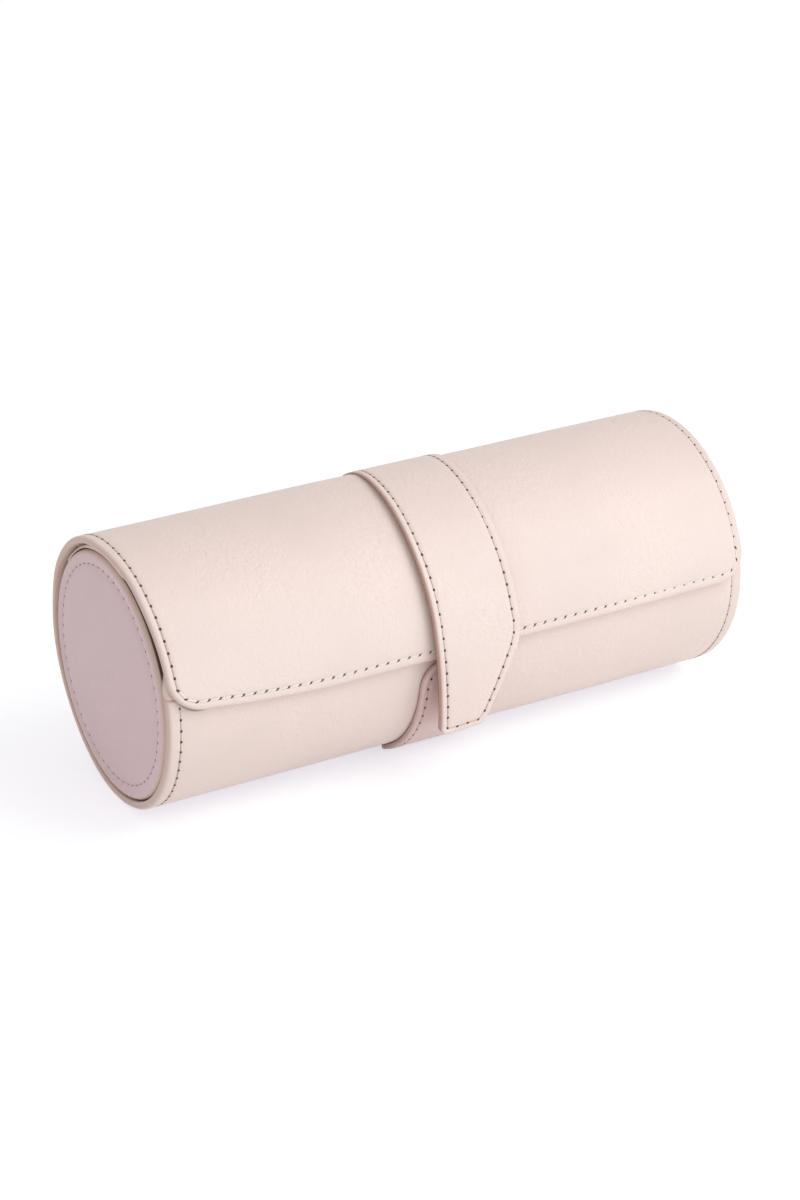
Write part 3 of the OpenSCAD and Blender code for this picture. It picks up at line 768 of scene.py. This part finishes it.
strap_mean_r = 42.6
tip_s = np.radians(anchor_a - tip_a) * strap_mean_r
strap_l = tip_s + tip_l
split_s = np.radians(anchor_a - strap_split_a) * strap_mean_r
lift_s = np.radians(anchor_a - lift_a) * strap_mean_r
strap_inset, strap_more_inset = 2.0, 0.7
root_r = flap_r + strap_stand + strap_t


def strap_face(tip_r, lift_r):
    """Forward shift and radius of the circle that is tip_r and lift_r away from the flap's centre at
    the tip's root and where the strap comes loose: r is the radius plus the shift times cosine a."""
    shift = (tip_r - lift_r) / (np.cos(np.radians(tip_a)) - np.cos(np.radians(lift_a)))
    return shift, lift_r - shift * np.cos(np.radians(lift_a))


strap_inside = strap_face(root_r - strap_t, flap_r + strap_gap)
strap_outside = strap_face(root_r, flap_r + strap_gap + strap_t * strap_pare)
tip_root_a = np.arctan2(
    root_r * np.sin(np.radians(tip_a)), root_r * np.cos(np.radians(tip_a)) - strap_outside[0])
tip_y = flap_y - strap_outside[0] + (tip_bow_r - strap_outside[1]) * np.cos(tip_root_a)
tip_z = flap_z - (tip_bow_r - strap_outside[1]) * np.sin(tip_root_a)


def strap_place(x, s, depth, layer=0.0):
    """Point at depth below the strap's outside, or below a layer that lies so deep at the tip: at
    length s from the sewn end, between two circles round the flap, which drift to the right over
    the top, and then round the wide circle of the hanging tip, which meets them without a kink."""
    hanging = s > tip_s
    degrees = anchor_a - np.degrees(s / strap_mean_r)
    drift = strap_drift * np.clip(degrees - drift_start_a, 0, drift_span_a) ** 2
    angle = np.where(hanging, tip_root_a - (s - tip_s) / tip_bow_r, np.radians(degrees))
    outside = strap_outside[1] + strap_outside[0] * np.cos(angle)
    inside = strap_inside[1] + strap_inside[0] * np.cos(angle)
    r = np.where(hanging, tip_bow_r - layer, mix(outside, inside, layer / strap_t)) - depth
    y, z = np.where(hanging, tip_y, flap_y), np.where(hanging, tip_z, flap_z)
    return on_circle(x + drift, r, angle, y, z)


def rounded_line(corners, inset=0.0):
    """Open flat line through corners (x, s, radius), moved to its left by inset, with each inner
    corner rounded by an arc that touches both of its sides."""
    corners = np.array(corners, float)
    p, r = corners[:, :2], corners[:, 2]
    way = unit(np.diff(p, axis=0))
    left = np.stack([-way[:, 1], way[:, 0]], -1)
    moved = [p[0] + left[0] * inset]
    for k in range(1, len(p) - 1):
        share = inset / (1 + way[k - 1] @ way[k])
        moved.append(p[k] + (left[k - 1] + left[k]) * share)
    moved.append(p[-1] + left[-1] * inset)
    line = [moved[0][None]]
    for k in range(1, len(p) - 1):
        bend = np.arctan2(np.cross(way[k - 1], way[k]), way[k - 1] @ way[k])
        radius = max(r[k] - inset * np.sign(bend), 0.3)
        start = moved[k] - way[k - 1] * radius * np.tan(abs(bend) / 2)
        turn = np.linspace(0, bend, 9)[:, None]
        centre = start + left[k - 1] * radius * np.sign(bend)
        spoke = start - centre
        line.append(centre + spoke * np.cos(turn) + np.array([-spoke[1], spoke[0]]) * np.sin(turn))
    line.append(moved[-1][None])
    return np.concatenate(line)


def tip_line(start_s, inset):
    """Edge of the strap from start_s down its left side, round the tip and back up its right side."""
    low = strap_l - tip_end_rise
    return rounded_line([
        (strap_left, start_s, 0),
        (strap_left, strap_l, tip_corner_r),
        (strap_left + tip_end_w, low, tip_corner_r),
        (strap_right, strap_l - tip_slant_l, tip_shoulder_r),
        (strap_right, start_s, 0)], inset)


def anchor_line(start_s, inset):
    """Edge of the strap from start_s back to its sewn end and round it, from right to left."""
    return rounded_line([
        (strap_right, start_s, 0),
        (strap_right, 0, anchor_corner_r),
        (strap_left, 0, anchor_corner_r),
        (strap_left, start_s, 0)], inset)


def set_in(line):
    """Moves a row of stitches further in along the strap's right side, down to where it is cut."""
    x, s = line[:, 0], line[:, 1]
    share = smooth((x - strap_left) / 10 - 1) * smooth((strap_l - tip_slant_l - s) / 8)
    return np.stack([x - strap_more_inset * share, s], -1)


def strap_wave(x, s):
    """Unevenness of the strap, as a depth: a slow wave that its edges don't share alike and a short
    one, 0.15 mm together, which ease in from where the strap comes loose."""
    slow = 0.10 * np.sin(s / 13 + 0.5) * np.sin((x - strap_left) / 9)
    return (slow + 0.05 * np.sin(s / 6.1 + x / 5)) * smooth((s - lift_s) / 30)


def strap_sheet(name, flat, layers, rounds, stitch_line):
    """One layer of the strap between two depths, with both its rims rounded, furrowed by its thread."""
    d = line_distance(flat, border(flat))
    x, s = flat[..., 0], flat[..., 1]
    pared = mix(0.5, round_share, smooth((s + 6) / tip_s))
    top = strap_wave(x, s) + edge_drop(d, rounds[0]) * pared
    bottom = strap_wave(x, s) - edge_drop(d, rounds[1]) * pared
    if stitch_line is not None:
        top = top + groove(line_distance(flat, stitch_line))
    # The lining's lower edge goes near black: painted shade of the gap under the strap.
    return slab(
        name, strap_place(x, s, top, layers[0]), strap_place(x, s, bottom, layers[1]),
        np.exp(-d / cut_shade_w), cut_blush, below=cut_shade * (layers[1] == strap_t))


strap_near = [0, 0.08, 0.2, 0.4, 0.7, 1.0, 1.4, 1.6, 1.8, 2.0, 2.2, 2.4, 2.7, 3.2, 4.0]
end_near = np.array([0, 0.08, 0.2, 0.4, 0.7, 1.0, 1.4, 1.7, 2.0, 2.3, 2.6, 3.2, 4.0])
tip_edge = tip_line(split_s, 0)
tip_rows = np.concatenate([
    np.linspace(split_s, tip_s - 3, 26)[:-1], np.arange(tip_s - 3, tip_s + 3.1, 0.5),
    np.linspace(tip_s + 4, strap_l - 5, 26), strap_l - end_near[::-1]])


def tip_grid():
    """Grid of the strap's front length: rows to the tip's level, then slanted with the cut end."""
    tilt = tip_end_rise / tip_end_w
    line = tip_edge + np.stack([0 * tip_edge[:, 0], tilt * (tip_edge[:, 0] - strap_left)], -1)
    low = line[:, 1].max()
    on_end = np.flatnonzero(line[:, 1] > low - 1e-6)
    left_side, right_side = line[:on_end[0] + 1], line[on_end[-1]:][::-1]
    flat = sheet_grid(
        np.minimum(tip_rows, low), lambda s: np.interp(s, left_side[:, 1], left_side[:, 0]),
        lambda s: np.interp(s, right_side[:, 1], right_side[:, 0]), strap_near, middle_step=1.2)
    fade = smooth((flat[..., 1] - tip_s) / (strap_l - tip_s))
    return flat - np.stack([0 * fade, fade * tilt * (flat[..., 0] - strap_left)], -1)


tip_flat = tip_grid()
anchor_rows = np.concatenate([
    np.linspace(split_s, lift_s + 3, 22)[:-1], np.arange(lift_s + 3, lift_s - 3.1, -0.5),
    np.linspace(lift_s - 4, 5, 10), end_near[::-1]])
anchor_flat = sheet_grid(
    anchor_rows, *arc_sides(strap_half, anchor_corner_r, anchor_corner_r, strap_mid),
    strap_near, middle_step=1.2)
# Strap leather: pinkish-brown edge colour on the cut edges, and near-black painted shade on the lining's
# lower edge.
cut_blush = leather("strap_leather", (0.86, 0.70, 0.63), (0.20, 0.10, 0.08), (0.60, 0.37, 0.31))
tip_stitch = set_in(tip_line(split_s - stitch_pitch / 2, -strap_inset))
anchor_stitch = set_in(anchor_line(split_s + stitch_pitch / 2, -strap_inset))


def fold(piece):
    """Bakes a piece's placing into its mesh, and returns it."""
    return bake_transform(piece)


for layer, layers, rounds, furrows in (
        ("leather", (0.0, strap_leather_t), (0.7, 0.15), (anchor_stitch, tip_stitch)),
        ("lining", (strap_leather_t, strap_t), (0.2, 0.5), (None, None))):
    back = strap_sheet(f"strap_back_{layer}", anchor_flat, layers, rounds, furrows[0])
    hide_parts(f"base_{layer}", f"strap_{layer}")
    fold(back)
    tip = strap_sheet(f"strap_tip_{layer}", tip_flat, layers, rounds, furrows[1])
    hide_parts(f"strap_{layer}", f"tip_{layer}")
    fold(tip)
fold(sew("strap_stitches", strap_place, anchor_stitch))
fold(sew("tip_stitches", strap_place, tip_stitch))

# Tab: two layers of the same leather, glued and sewn to the trough's front, which the tip closes
# on. Their colour is a darker, pinker copy of that leather: painted shade of the strap's shadow.
# Its top has round corners, and it runs down under the roll.
tab_low, tab_high = box_of("tab_leather")
tab_left, tab_right = round(tab_low[0], 1), round(tab_high[0], 1)
tab_half, tab_mid = (tab_right - tab_left) / 2, (tab_left + tab_right) / 2
tab_leather_t, tab_back_t = 1.1, 0.9
tab_r = case_r + tab_leather_t + tab_back_t
tab_top_a, tab_down_a = np.degrees(np.arcsin((round(tab_high[2], 1) - case_z) / tab_r)), 66.0
tab_l = np.radians(tab_top_a + tab_down_a) * tab_r
tab_corner_r, tab_inset, tab_stitch_end, tab_round, tab_shade_w = 8.0, 1.8, 2.0, 0.85, 0.12


def tab_place(x, s, depth):
    """Point below the tab's face, at length s down from its top edge, on a circle round the trough."""
    return on_circle(x, tab_r - depth, np.radians(tab_top_a) - s / tab_r)


tab_painted_shade_leather = leather("tab_leather", (0.76, 0.56, 0.53), (0.16, 0.08, 0.06), (0.70, 0.49, 0.45))
tab_rows = np.concatenate([end_near, np.linspace(5, tab_l, 34)])[::-1]
tab_flat = sheet_grid(
    tab_rows, *arc_sides(tab_half, tab_corner_r, tab_corner_r, tab_mid), strap_near, middle_step=1.2)
tab_stitch = [tab_mid, 0] + corner_line(
    tab_half - tab_inset, tab_l - tab_stitch_end, tab_inset,
    tab_corner_r - tab_inset, tab_corner_r - tab_inset)
d = line_distance(tab_flat, border(tab_flat))
x, s = tab_flat[..., 0], tab_flat[..., 1]
tab_top = edge_drop(d, tab_round) * round_share + groove(line_distance(tab_flat, tab_stitch))
layer_gap, tab_t = edge_drop(d, 0.2), tab_leather_t + tab_back_t
# The back layer's lower edge goes near black, as painted shade where the tab meets the trough.
for name, node, upper, lower, below in (
        ("tab_outer_leather", "tab_leather", tab_top, tab_leather_t - layer_gap, 0.0),
        ("tab_back_leather", "tab_lining", tab_leather_t + layer_gap, tab_t - edge_drop(d, 0.3), 1.0)):
    tab = slab(
        name, tab_place(x, s, upper), tab_place(x, s, lower), np.exp(-d / tab_shade_w), tab_painted_shade_leather,
        below=below)
    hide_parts(node)
    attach(tab, "case")
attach(sew("tab_stitches", tab_place, tab_stitch), "case")

# Linings: thin brushed suede, which is glued inside the flap, round the trough and its hinge, and
# on the boards of the two ends. The flap's is set in, and its turned edge shows beside it.
suede_tone = (0.74, 0.61, 0.52)
bay_r, bay_end_x, end_inner_x = 36.4, 90.2, 91.0
lining_top_a, lining_gap_a = 12.4, 0.6
flap_lining_t, flap_lining_round, flap_nap_wave = 0.45, 0.3, 0.5
trough_lining_t, trough_lining_round, trough_nap_wave = 0.75, 0.5, 0.4
end_lining_round, end_lining_wave, glue_t = 0.4, 0.05, 0.05


def suede(name, tone, mottle):
    """Brushed suede: a fine nap under a soft sheen, with darker and lighter strokes of that scale,
    and dark in a seam, which the attribute edge marks."""
    material = bpy.data.materials.new(name)
    add, join = new_nodes(material)
    where = add("ShaderNodeTexCoord")
    nap = add("ShaderNodeTexNoise", Scale=2200.0, Detail=3.0)
    strokes = add("ShaderNodeTexNoise", Scale=mottle, Detail=4.0, Distortion=0.8)
    for texture in (nap, strokes):
        join(where, "Object", texture, "Vector")
    tones = add("ShaderNodeValToRGB")
    tones.color_ramp.elements[0].position, tones.color_ramp.elements[1].position = 0.35, 0.65
    tones.color_ramp.elements[0].color = [0.90 * c for c in tone] + [1]
    tones.color_ramp.elements[1].color = [min(1.05 * c, 0.95) for c in tone] + [1]
    seam = add("ShaderNodeAttribute", attribute_name="edge")
    seamed = add("ShaderNodeMix", data_type="RGBA")
    seamed.inputs["B"].default_value = (*[0.45 * c for c in tone], 1)
    join(seam, "Fac", seamed, "Factor")
    join(tones, "Color", seamed, "A")
    level = add("ShaderNodeMath", operation="MULTIPLY_ADD")
    level.inputs[1].default_value = 0.35
    join(nap, "Fac", level, 0)
    share = add("ShaderNodeMath", operation="MULTIPLY")
    share.inputs[1].default_value = 0.65
    join(strokes, "Fac", share, 0)
    join(share, 0, level, 2)
    join(level, 0, tones, "Fac")
    bump = add("ShaderNodeBump", Strength=0.5, Distance=0.00015)
    join(nap, "Fac", bump, "Height")
    shader = add("ShaderNodeBsdfPrincipled", Roughness=0.95)
    shader.inputs["Specular IOR Level"].default_value = 0.15
    shader.inputs["Sheen Weight"].default_value = 0.35
    shader.inputs["Sheen Roughness"].default_value = 0.45
    join(seamed, "Result", shader, "Base Color")
    join(bump, "Normal", shader, "Normal")
    join(shader, 0, add("ShaderNodeOutputMaterial"), 0)
    return material


lining_suede = suede("lining_suede", suede_tone, 90.0)


def lining_face(x, s, depth):
    """Point behind the face of the flap's lining, which looks in towards the roll's axis."""
    return on_circle(x, flap_r - flap_t + depth, np.radians(shell_angle(s)), flap_y, flap_z)


def turned_face(x, s, depth):
    """Point behind the inner face of the flap's turned edge."""
    return shell_place(x, s, flap_t - depth)


def unevenly_glued(x, s, from_border, height, ease):
    """Depth of the dips in a glued lining: a share of the leather's waves, which ease in from its
    border. The waves never come above the face."""
    return height * (ripple(x, 1.3 * s) + 0.12) * smooth(from_border / ease)


lining_rows = np.concatenate([
    end_near, np.linspace(5, shell_length(hinge_a - lining_gap_a) - flap_turn, 60)])[::-1]
lining_flat = [0, flap_turn] + sheet_grid(
    lining_rows, *arc_sides(end_x - flap_turn, left_corner_r - flap_turn, right_corner_r - flap_turn),
    [0, 0.1, 0.2, 0.35, 0.6, 1.0, 1.6], middle_step=2.0)
x, s = lining_flat[..., 0], let_out(lining_flat)[..., 1]
d = line_distance(lining_flat, border(lining_flat))
face_depth = edge_drop(d, flap_lining_round) + unevenly_glued(1.7 * x, s, d, flap_nap_wave, 4)
flap_lining = slab(
    "flap_lining_suede", lining_face(x, s, flap_lining_t + 0 * x), lining_face(x, s, face_depth),
    0 * d, lining_suede)
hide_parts("flap_lining")
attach(flap_lining, "flap")
inner_holes = flap_holes[shell_angle(flap_holes[:, 1]) < hinge_a - bend_half_a]
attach(sew("flap_inner_stitches", turned_face, inner_holes, sink=0.0), "flap")


def trough_lining_face(x, s, depth):
    """Point behind the face of the trough's lining, at length s down from its front edge."""
    return on_circle(x, bay_r + depth, np.radians(lining_top_a) - s / bay_r)


lining_l = np.radians(lining_top_a + 360 - hinge_a + hinge_strip_a) * bay_r
trough_flat = sheet_grid(
    np.concatenate([end_near, np.linspace(5, lining_l, 90)])[::-1], *arc_sides(end_inner_x, 0, 0),
    [0, 0.3, 1.0, 2.0], middle_step=2.5)
x, s = trough_flat[..., 0], trough_flat[..., 1]
d = np.minimum(s, lining_l - s)
face_depth = edge_drop(d, trough_lining_round) + unevenly_glued(x, s, d, trough_nap_wave, 5)
trough_lining = slab(
    "trough_lining_suede", trough_lining_face(x, s, trough_lining_t + 0 * s),
    trough_lining_face(x, s, face_depth), 0 * s, lining_suede)
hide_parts("trough_lining", "hinge_strip")
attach(trough_lining, "case")

for side, name in ((-1, "left"), (1, "right")):
    a = np.radians(np.arange(0, 360, 3))[None, :]
    r = np.concatenate([[0.4], np.linspace(4, 35, 9), [35.8, 36.1, 36.3, 36.35, 36.35, 0.4]])
    r = r[:, None] + 0 * a
    out = bay_end_x + edge_drop(bay_r - r, end_lining_round)
    out = out + end_lining_wave * (1 + np.sin(r / 4 + 3 * a))
    out[-2:] = end_inner_x - glue_t
    disc = put_mesh(
        f"end_lining_suede_{name}", on_circle(side * out, r, a), tube_faces(1, *r.shape), lining_suede)
    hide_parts(f"end_lining_{name}")
    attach(disc, "case")

# Dividers: a board in a folded piece of suede, round below to fit the trough and level on top, where
# the fold is round and a row of stitches holds it on either side.
divider_x, divider_half, divider_rise, divider_end_y = 30.565, 1.5, 20.0, 36.3
divider_hollow, divider_seam_down, divider_seam_half = 0.06, 4.0, 29.0
over_a = np.radians(np.arange(0, 181, 15))
for side, name in ((-1, "left"), (1, "right")):
    y = divider_end_y * np.sin(np.radians(np.linspace(-90, 90, 91)))[:, None]
    reach = np.sqrt(np.maximum(bay_r**2 - y**2, 0.04))
    top = np.minimum(divider_rise, reach)
    climb = np.linspace(0, 1, 12)[None, :]
    face_x = divider_half - divider_hollow * np.sin(np.pi * climb) * np.cos(y / 9)
    face_z = mix(-reach, top - divider_half, climb)
    fold_x = divider_half * np.cos(over_a)[None, 1:-1] + 0 * y
    fold_z = top - divider_half + divider_half * np.sin(over_a)[None, 1:-1]
    ring_x = np.concatenate([face_x, fold_x, -face_x[:, ::-1]], axis=1)
    ring_z = np.concatenate([face_z, fold_z, face_z[:, ::-1]], axis=1)
    points = np.stack([side * divider_x + ring_x, y + 0 * ring_x, case_z + ring_z], -1)
    divider = put_mesh(f"divider_suede_{name}", points, tube_faces(1, *ring_x.shape), lining_suede)
    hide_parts(f"divider_cover_{name}")
    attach(divider, "case")
    for way, face in ((-1, "near"), (1, "far")):
        def divider_place(x, s, depth, middle=side * divider_x, way=way):
            """Point at depth below a divider's face, at height x, and s back from the middle."""
            return np.stack([middle + way * (divider_half - depth) + 0 * s, s, case_z + x], -1)

        seam = np.array([
            [divider_rise - divider_seam_down, end * divider_seam_half] for end in (-1, 1)])
        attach(sew(f"divider_stitches_{name}_{face}", divider_place, seam, sink=0.03), "case")

# Cushions: oval bolsters of foam in suede, one in each bay, that bulge between a sewn seam at
# either end. Blender's cloth blows up one cover, and the three are copies of it, turned about.
cushion_low, cushion_high = box_of("cushion_cover_middle")
cushion_centre, cushion_half = (cushion_low + cushion_high) / 2, (cushion_high - cushion_low) / 2
cushion_pitch = 2 * divider_x
cushion_power, cushion_crown = 5, 0.07
bag_share, net_share, furthest_move = 0.95, 0.985, 3.0
net_rings, net_sides = 150, 200
seam_v, seam_w, pucker_v, pucker_w, pucker_count = 0.86, 0.018, 0.05, 0.06, 26
seam_dip, pucker_dip, slack_dip, dent_dip = 0.9, 0.10, 0.3, 0.5
cushion_suede = suede("cushion_suede", (0.78, 0.65, 0.56), 60.0)


def pillow_scale(v):
    """Width of a cushion at v, from -1 at one end to 1 at the other: one less the fifth power of v,
    to the fifth root, which is full but for round ends, times a low crown over the middle."""
    v = np.minimum(abs(v), 1)
    return (1 - v**cushion_power) ** (1 / cushion_power) * (1 - cushion_crown * v**2)


def pillow(name, rings, sides, share):
    """A cushion's plain form about its own centre, at a share of its full size."""
    v = np.sin(np.radians(np.linspace(-90, 90, rings + 2)))[1:-1, None]
    t = np.linspace(0, 2 * np.pi, sides + 1)[None, :-1]
    points = np.stack([v + 0 * t, pillow_scale(v) * np.cos(t), pillow_scale(v) * np.sin(t)], -1)
    return put_mesh(name, points * cushion_half * share, tube_faces(1, rings, sides), cushion_suede)


def as_made(piece):
    """Copy of the mesh that a piece's modifiers make of it."""
    bpy.context.view_layer.update()
    return bpy.data.meshes.new_from_object(piece.evaluated_get(bpy.context.evaluated_depsgraph_get()))


def corners_of(mesh):
    """A mesh's points, in millimetres."""
    flat = np.empty(len(mesh.vertices) * 3, np.float32)
    mesh.vertices.foreach_get("co", flat)
    return flat.reshape(-1, 3) * 1000.0


def blow_up(bag):
    """Fills a closed bag with air as cloth for 20 frames, moves none of its points further than
    allowed, and subdivides it once."""
    remesh = bag.modifiers.new("even_net", "REMESH")
    remesh.mode = "VOXEL"
    remesh.voxel_size = 0.0045
    net = as_made(bag)
    bag.modifiers.remove(remesh)
    bag.data = net
    slack = corners_of(net)
    cloth = bag.modifiers.new("cloth", "CLOTH")
    cloth.settings.use_pressure = True
    cloth.settings.uniform_pressure_force = 4
    cloth.settings.effector_weights.gravity = 0
    for frame_number in range(1, 21):
        bpy.context.scene.frame_set(frame_number)
    move = corners_of(as_made(bag)) - slack
    bag.modifiers.remove(cloth)
    bpy.context.scene.frame_set(1)
    length = np.linalg.norm(move, axis=1, keepdims=True)
    full = slack + move * np.minimum(1, furthest_move / np.maximum(length, 1e-9))
    net.vertices.foreach_set("co", (full / 1000).astype(np.float32).ravel())
    net.update()
    bag.modifiers.new("smoother", "SUBSURF").levels = 1


cover = pillow("cushion_form", net_rings, net_sides, net_share)
bag = pillow("cushion_bag", 24, 36, bag_share)
blow_up(bag)
wrap = cover.modifiers.new("onto_the_bag", "SHRINKWRAP")
wrap.target = bag
wrapped = corners_of(as_made(cover))
bpy.data.objects.remove(bag)
bpy.data.objects.remove(cover)
v = wrapped[:, 0] / cushion_half[0]
t = np.arctan2(wrapped[:, 2], wrapped[:, 1])
near_seam = np.exp(-(((abs(v) - seam_v) / seam_w) ** 2))
pucker = np.exp(-(((abs(v) - seam_v + pucker_v) / pucker_w) ** 2))
pucker = pucker * np.sin(pucker_count * t + 2 * np.sin(3 * t))
dents = 0.25 * np.sin(2 * t + 3 * v + 1) + 0.18 * np.sin(3 * t - 4 * v) * np.cos(2 * v)
sunk = seam_dip * near_seam + pucker_dip * (1 + pucker) + slack_dip + dent_dip * dents
spoke = np.linalg.norm(wrapped[:, 1:], axis=1)
limit = pillow_scale(v) / np.sqrt(
    (np.cos(t) / cushion_half[1]) ** 2 + (np.sin(t) / cushion_half[2]) ** 2)
r = np.minimum(spoke, limit) - sunk * smooth((spoke - 4) / 10)
form = np.stack([wrapped[:, 0], r * np.cos(t), r * np.sin(t)], -1)
for bay, turned_about, name in (
        (-1, (-1, 1, 1), "left"), (0, (1, 1, 1), "middle"), (1, (1, -1, 1), "right")):
    points = form * turned_about + cushion_centre + [bay * cushion_pitch, 0, 0]
    cushion = put_mesh(f"cushion_{name}", points, tube_faces(1, net_rings, net_sides), cushion_suede)
    put_attribute(cushion, "edge", 0.8 * near_seam**3)
    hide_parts(f"cushion_cover_{name}", f"cushion_foam_{name}")
    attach(cushion, f"cushion_{name}")

# Boards, foam and magnets: the solids of the CAD part that show as they are. The magnets are steel
# with a scuffed nickel finish, and the boards and the foam only show in a cut or a gap.
nickel = bpy.data.materials.new("nickel")
add, join = new_nodes(nickel)
where = add("ShaderNodeTexCoord")
scuffs = add("ShaderNodeTexNoise", Scale=420.0, Detail=5.0, Roughness=0.7)
join(where, "Object", scuffs, "Vector")
dull = add("ShaderNodeMapRange")
dull.inputs["To Min"].default_value, dull.inputs["To Max"].default_value = 0.16, 0.42
join(scuffs, "Fac", dull, "Value")
metal = add("ShaderNodeBsdfPrincipled", Metallic=1.0)
metal.inputs["Base Color"].default_value = (0.66, 0.64, 0.61, 1)
join(dull, 0, metal, "Roughness")
join(metal, 0, add("ShaderNodeOutputMaterial"), 0)
finishes = {
    "blush_leather": blush,
    "panel_leather": panel_painted_shade_leather,
    "lining_suede": lining_suede,
    "cushion_suede": cushion_suede,
    "board": plain_material("grey_board", (0.34, 0.30, 0.25), 0.9, 700.0),
    "foam": plain_material("foam", (0.88, 0.84, 0.70), 0.95, 1500.0),
    "magnet_steel": nickel,
}
for part in frame["record"]["subparts"]:
    node = frame["nodes"][part["node"]]
    node.data.materials.clear()
    node.data.materials.append(finishes[part["material_slot"]])
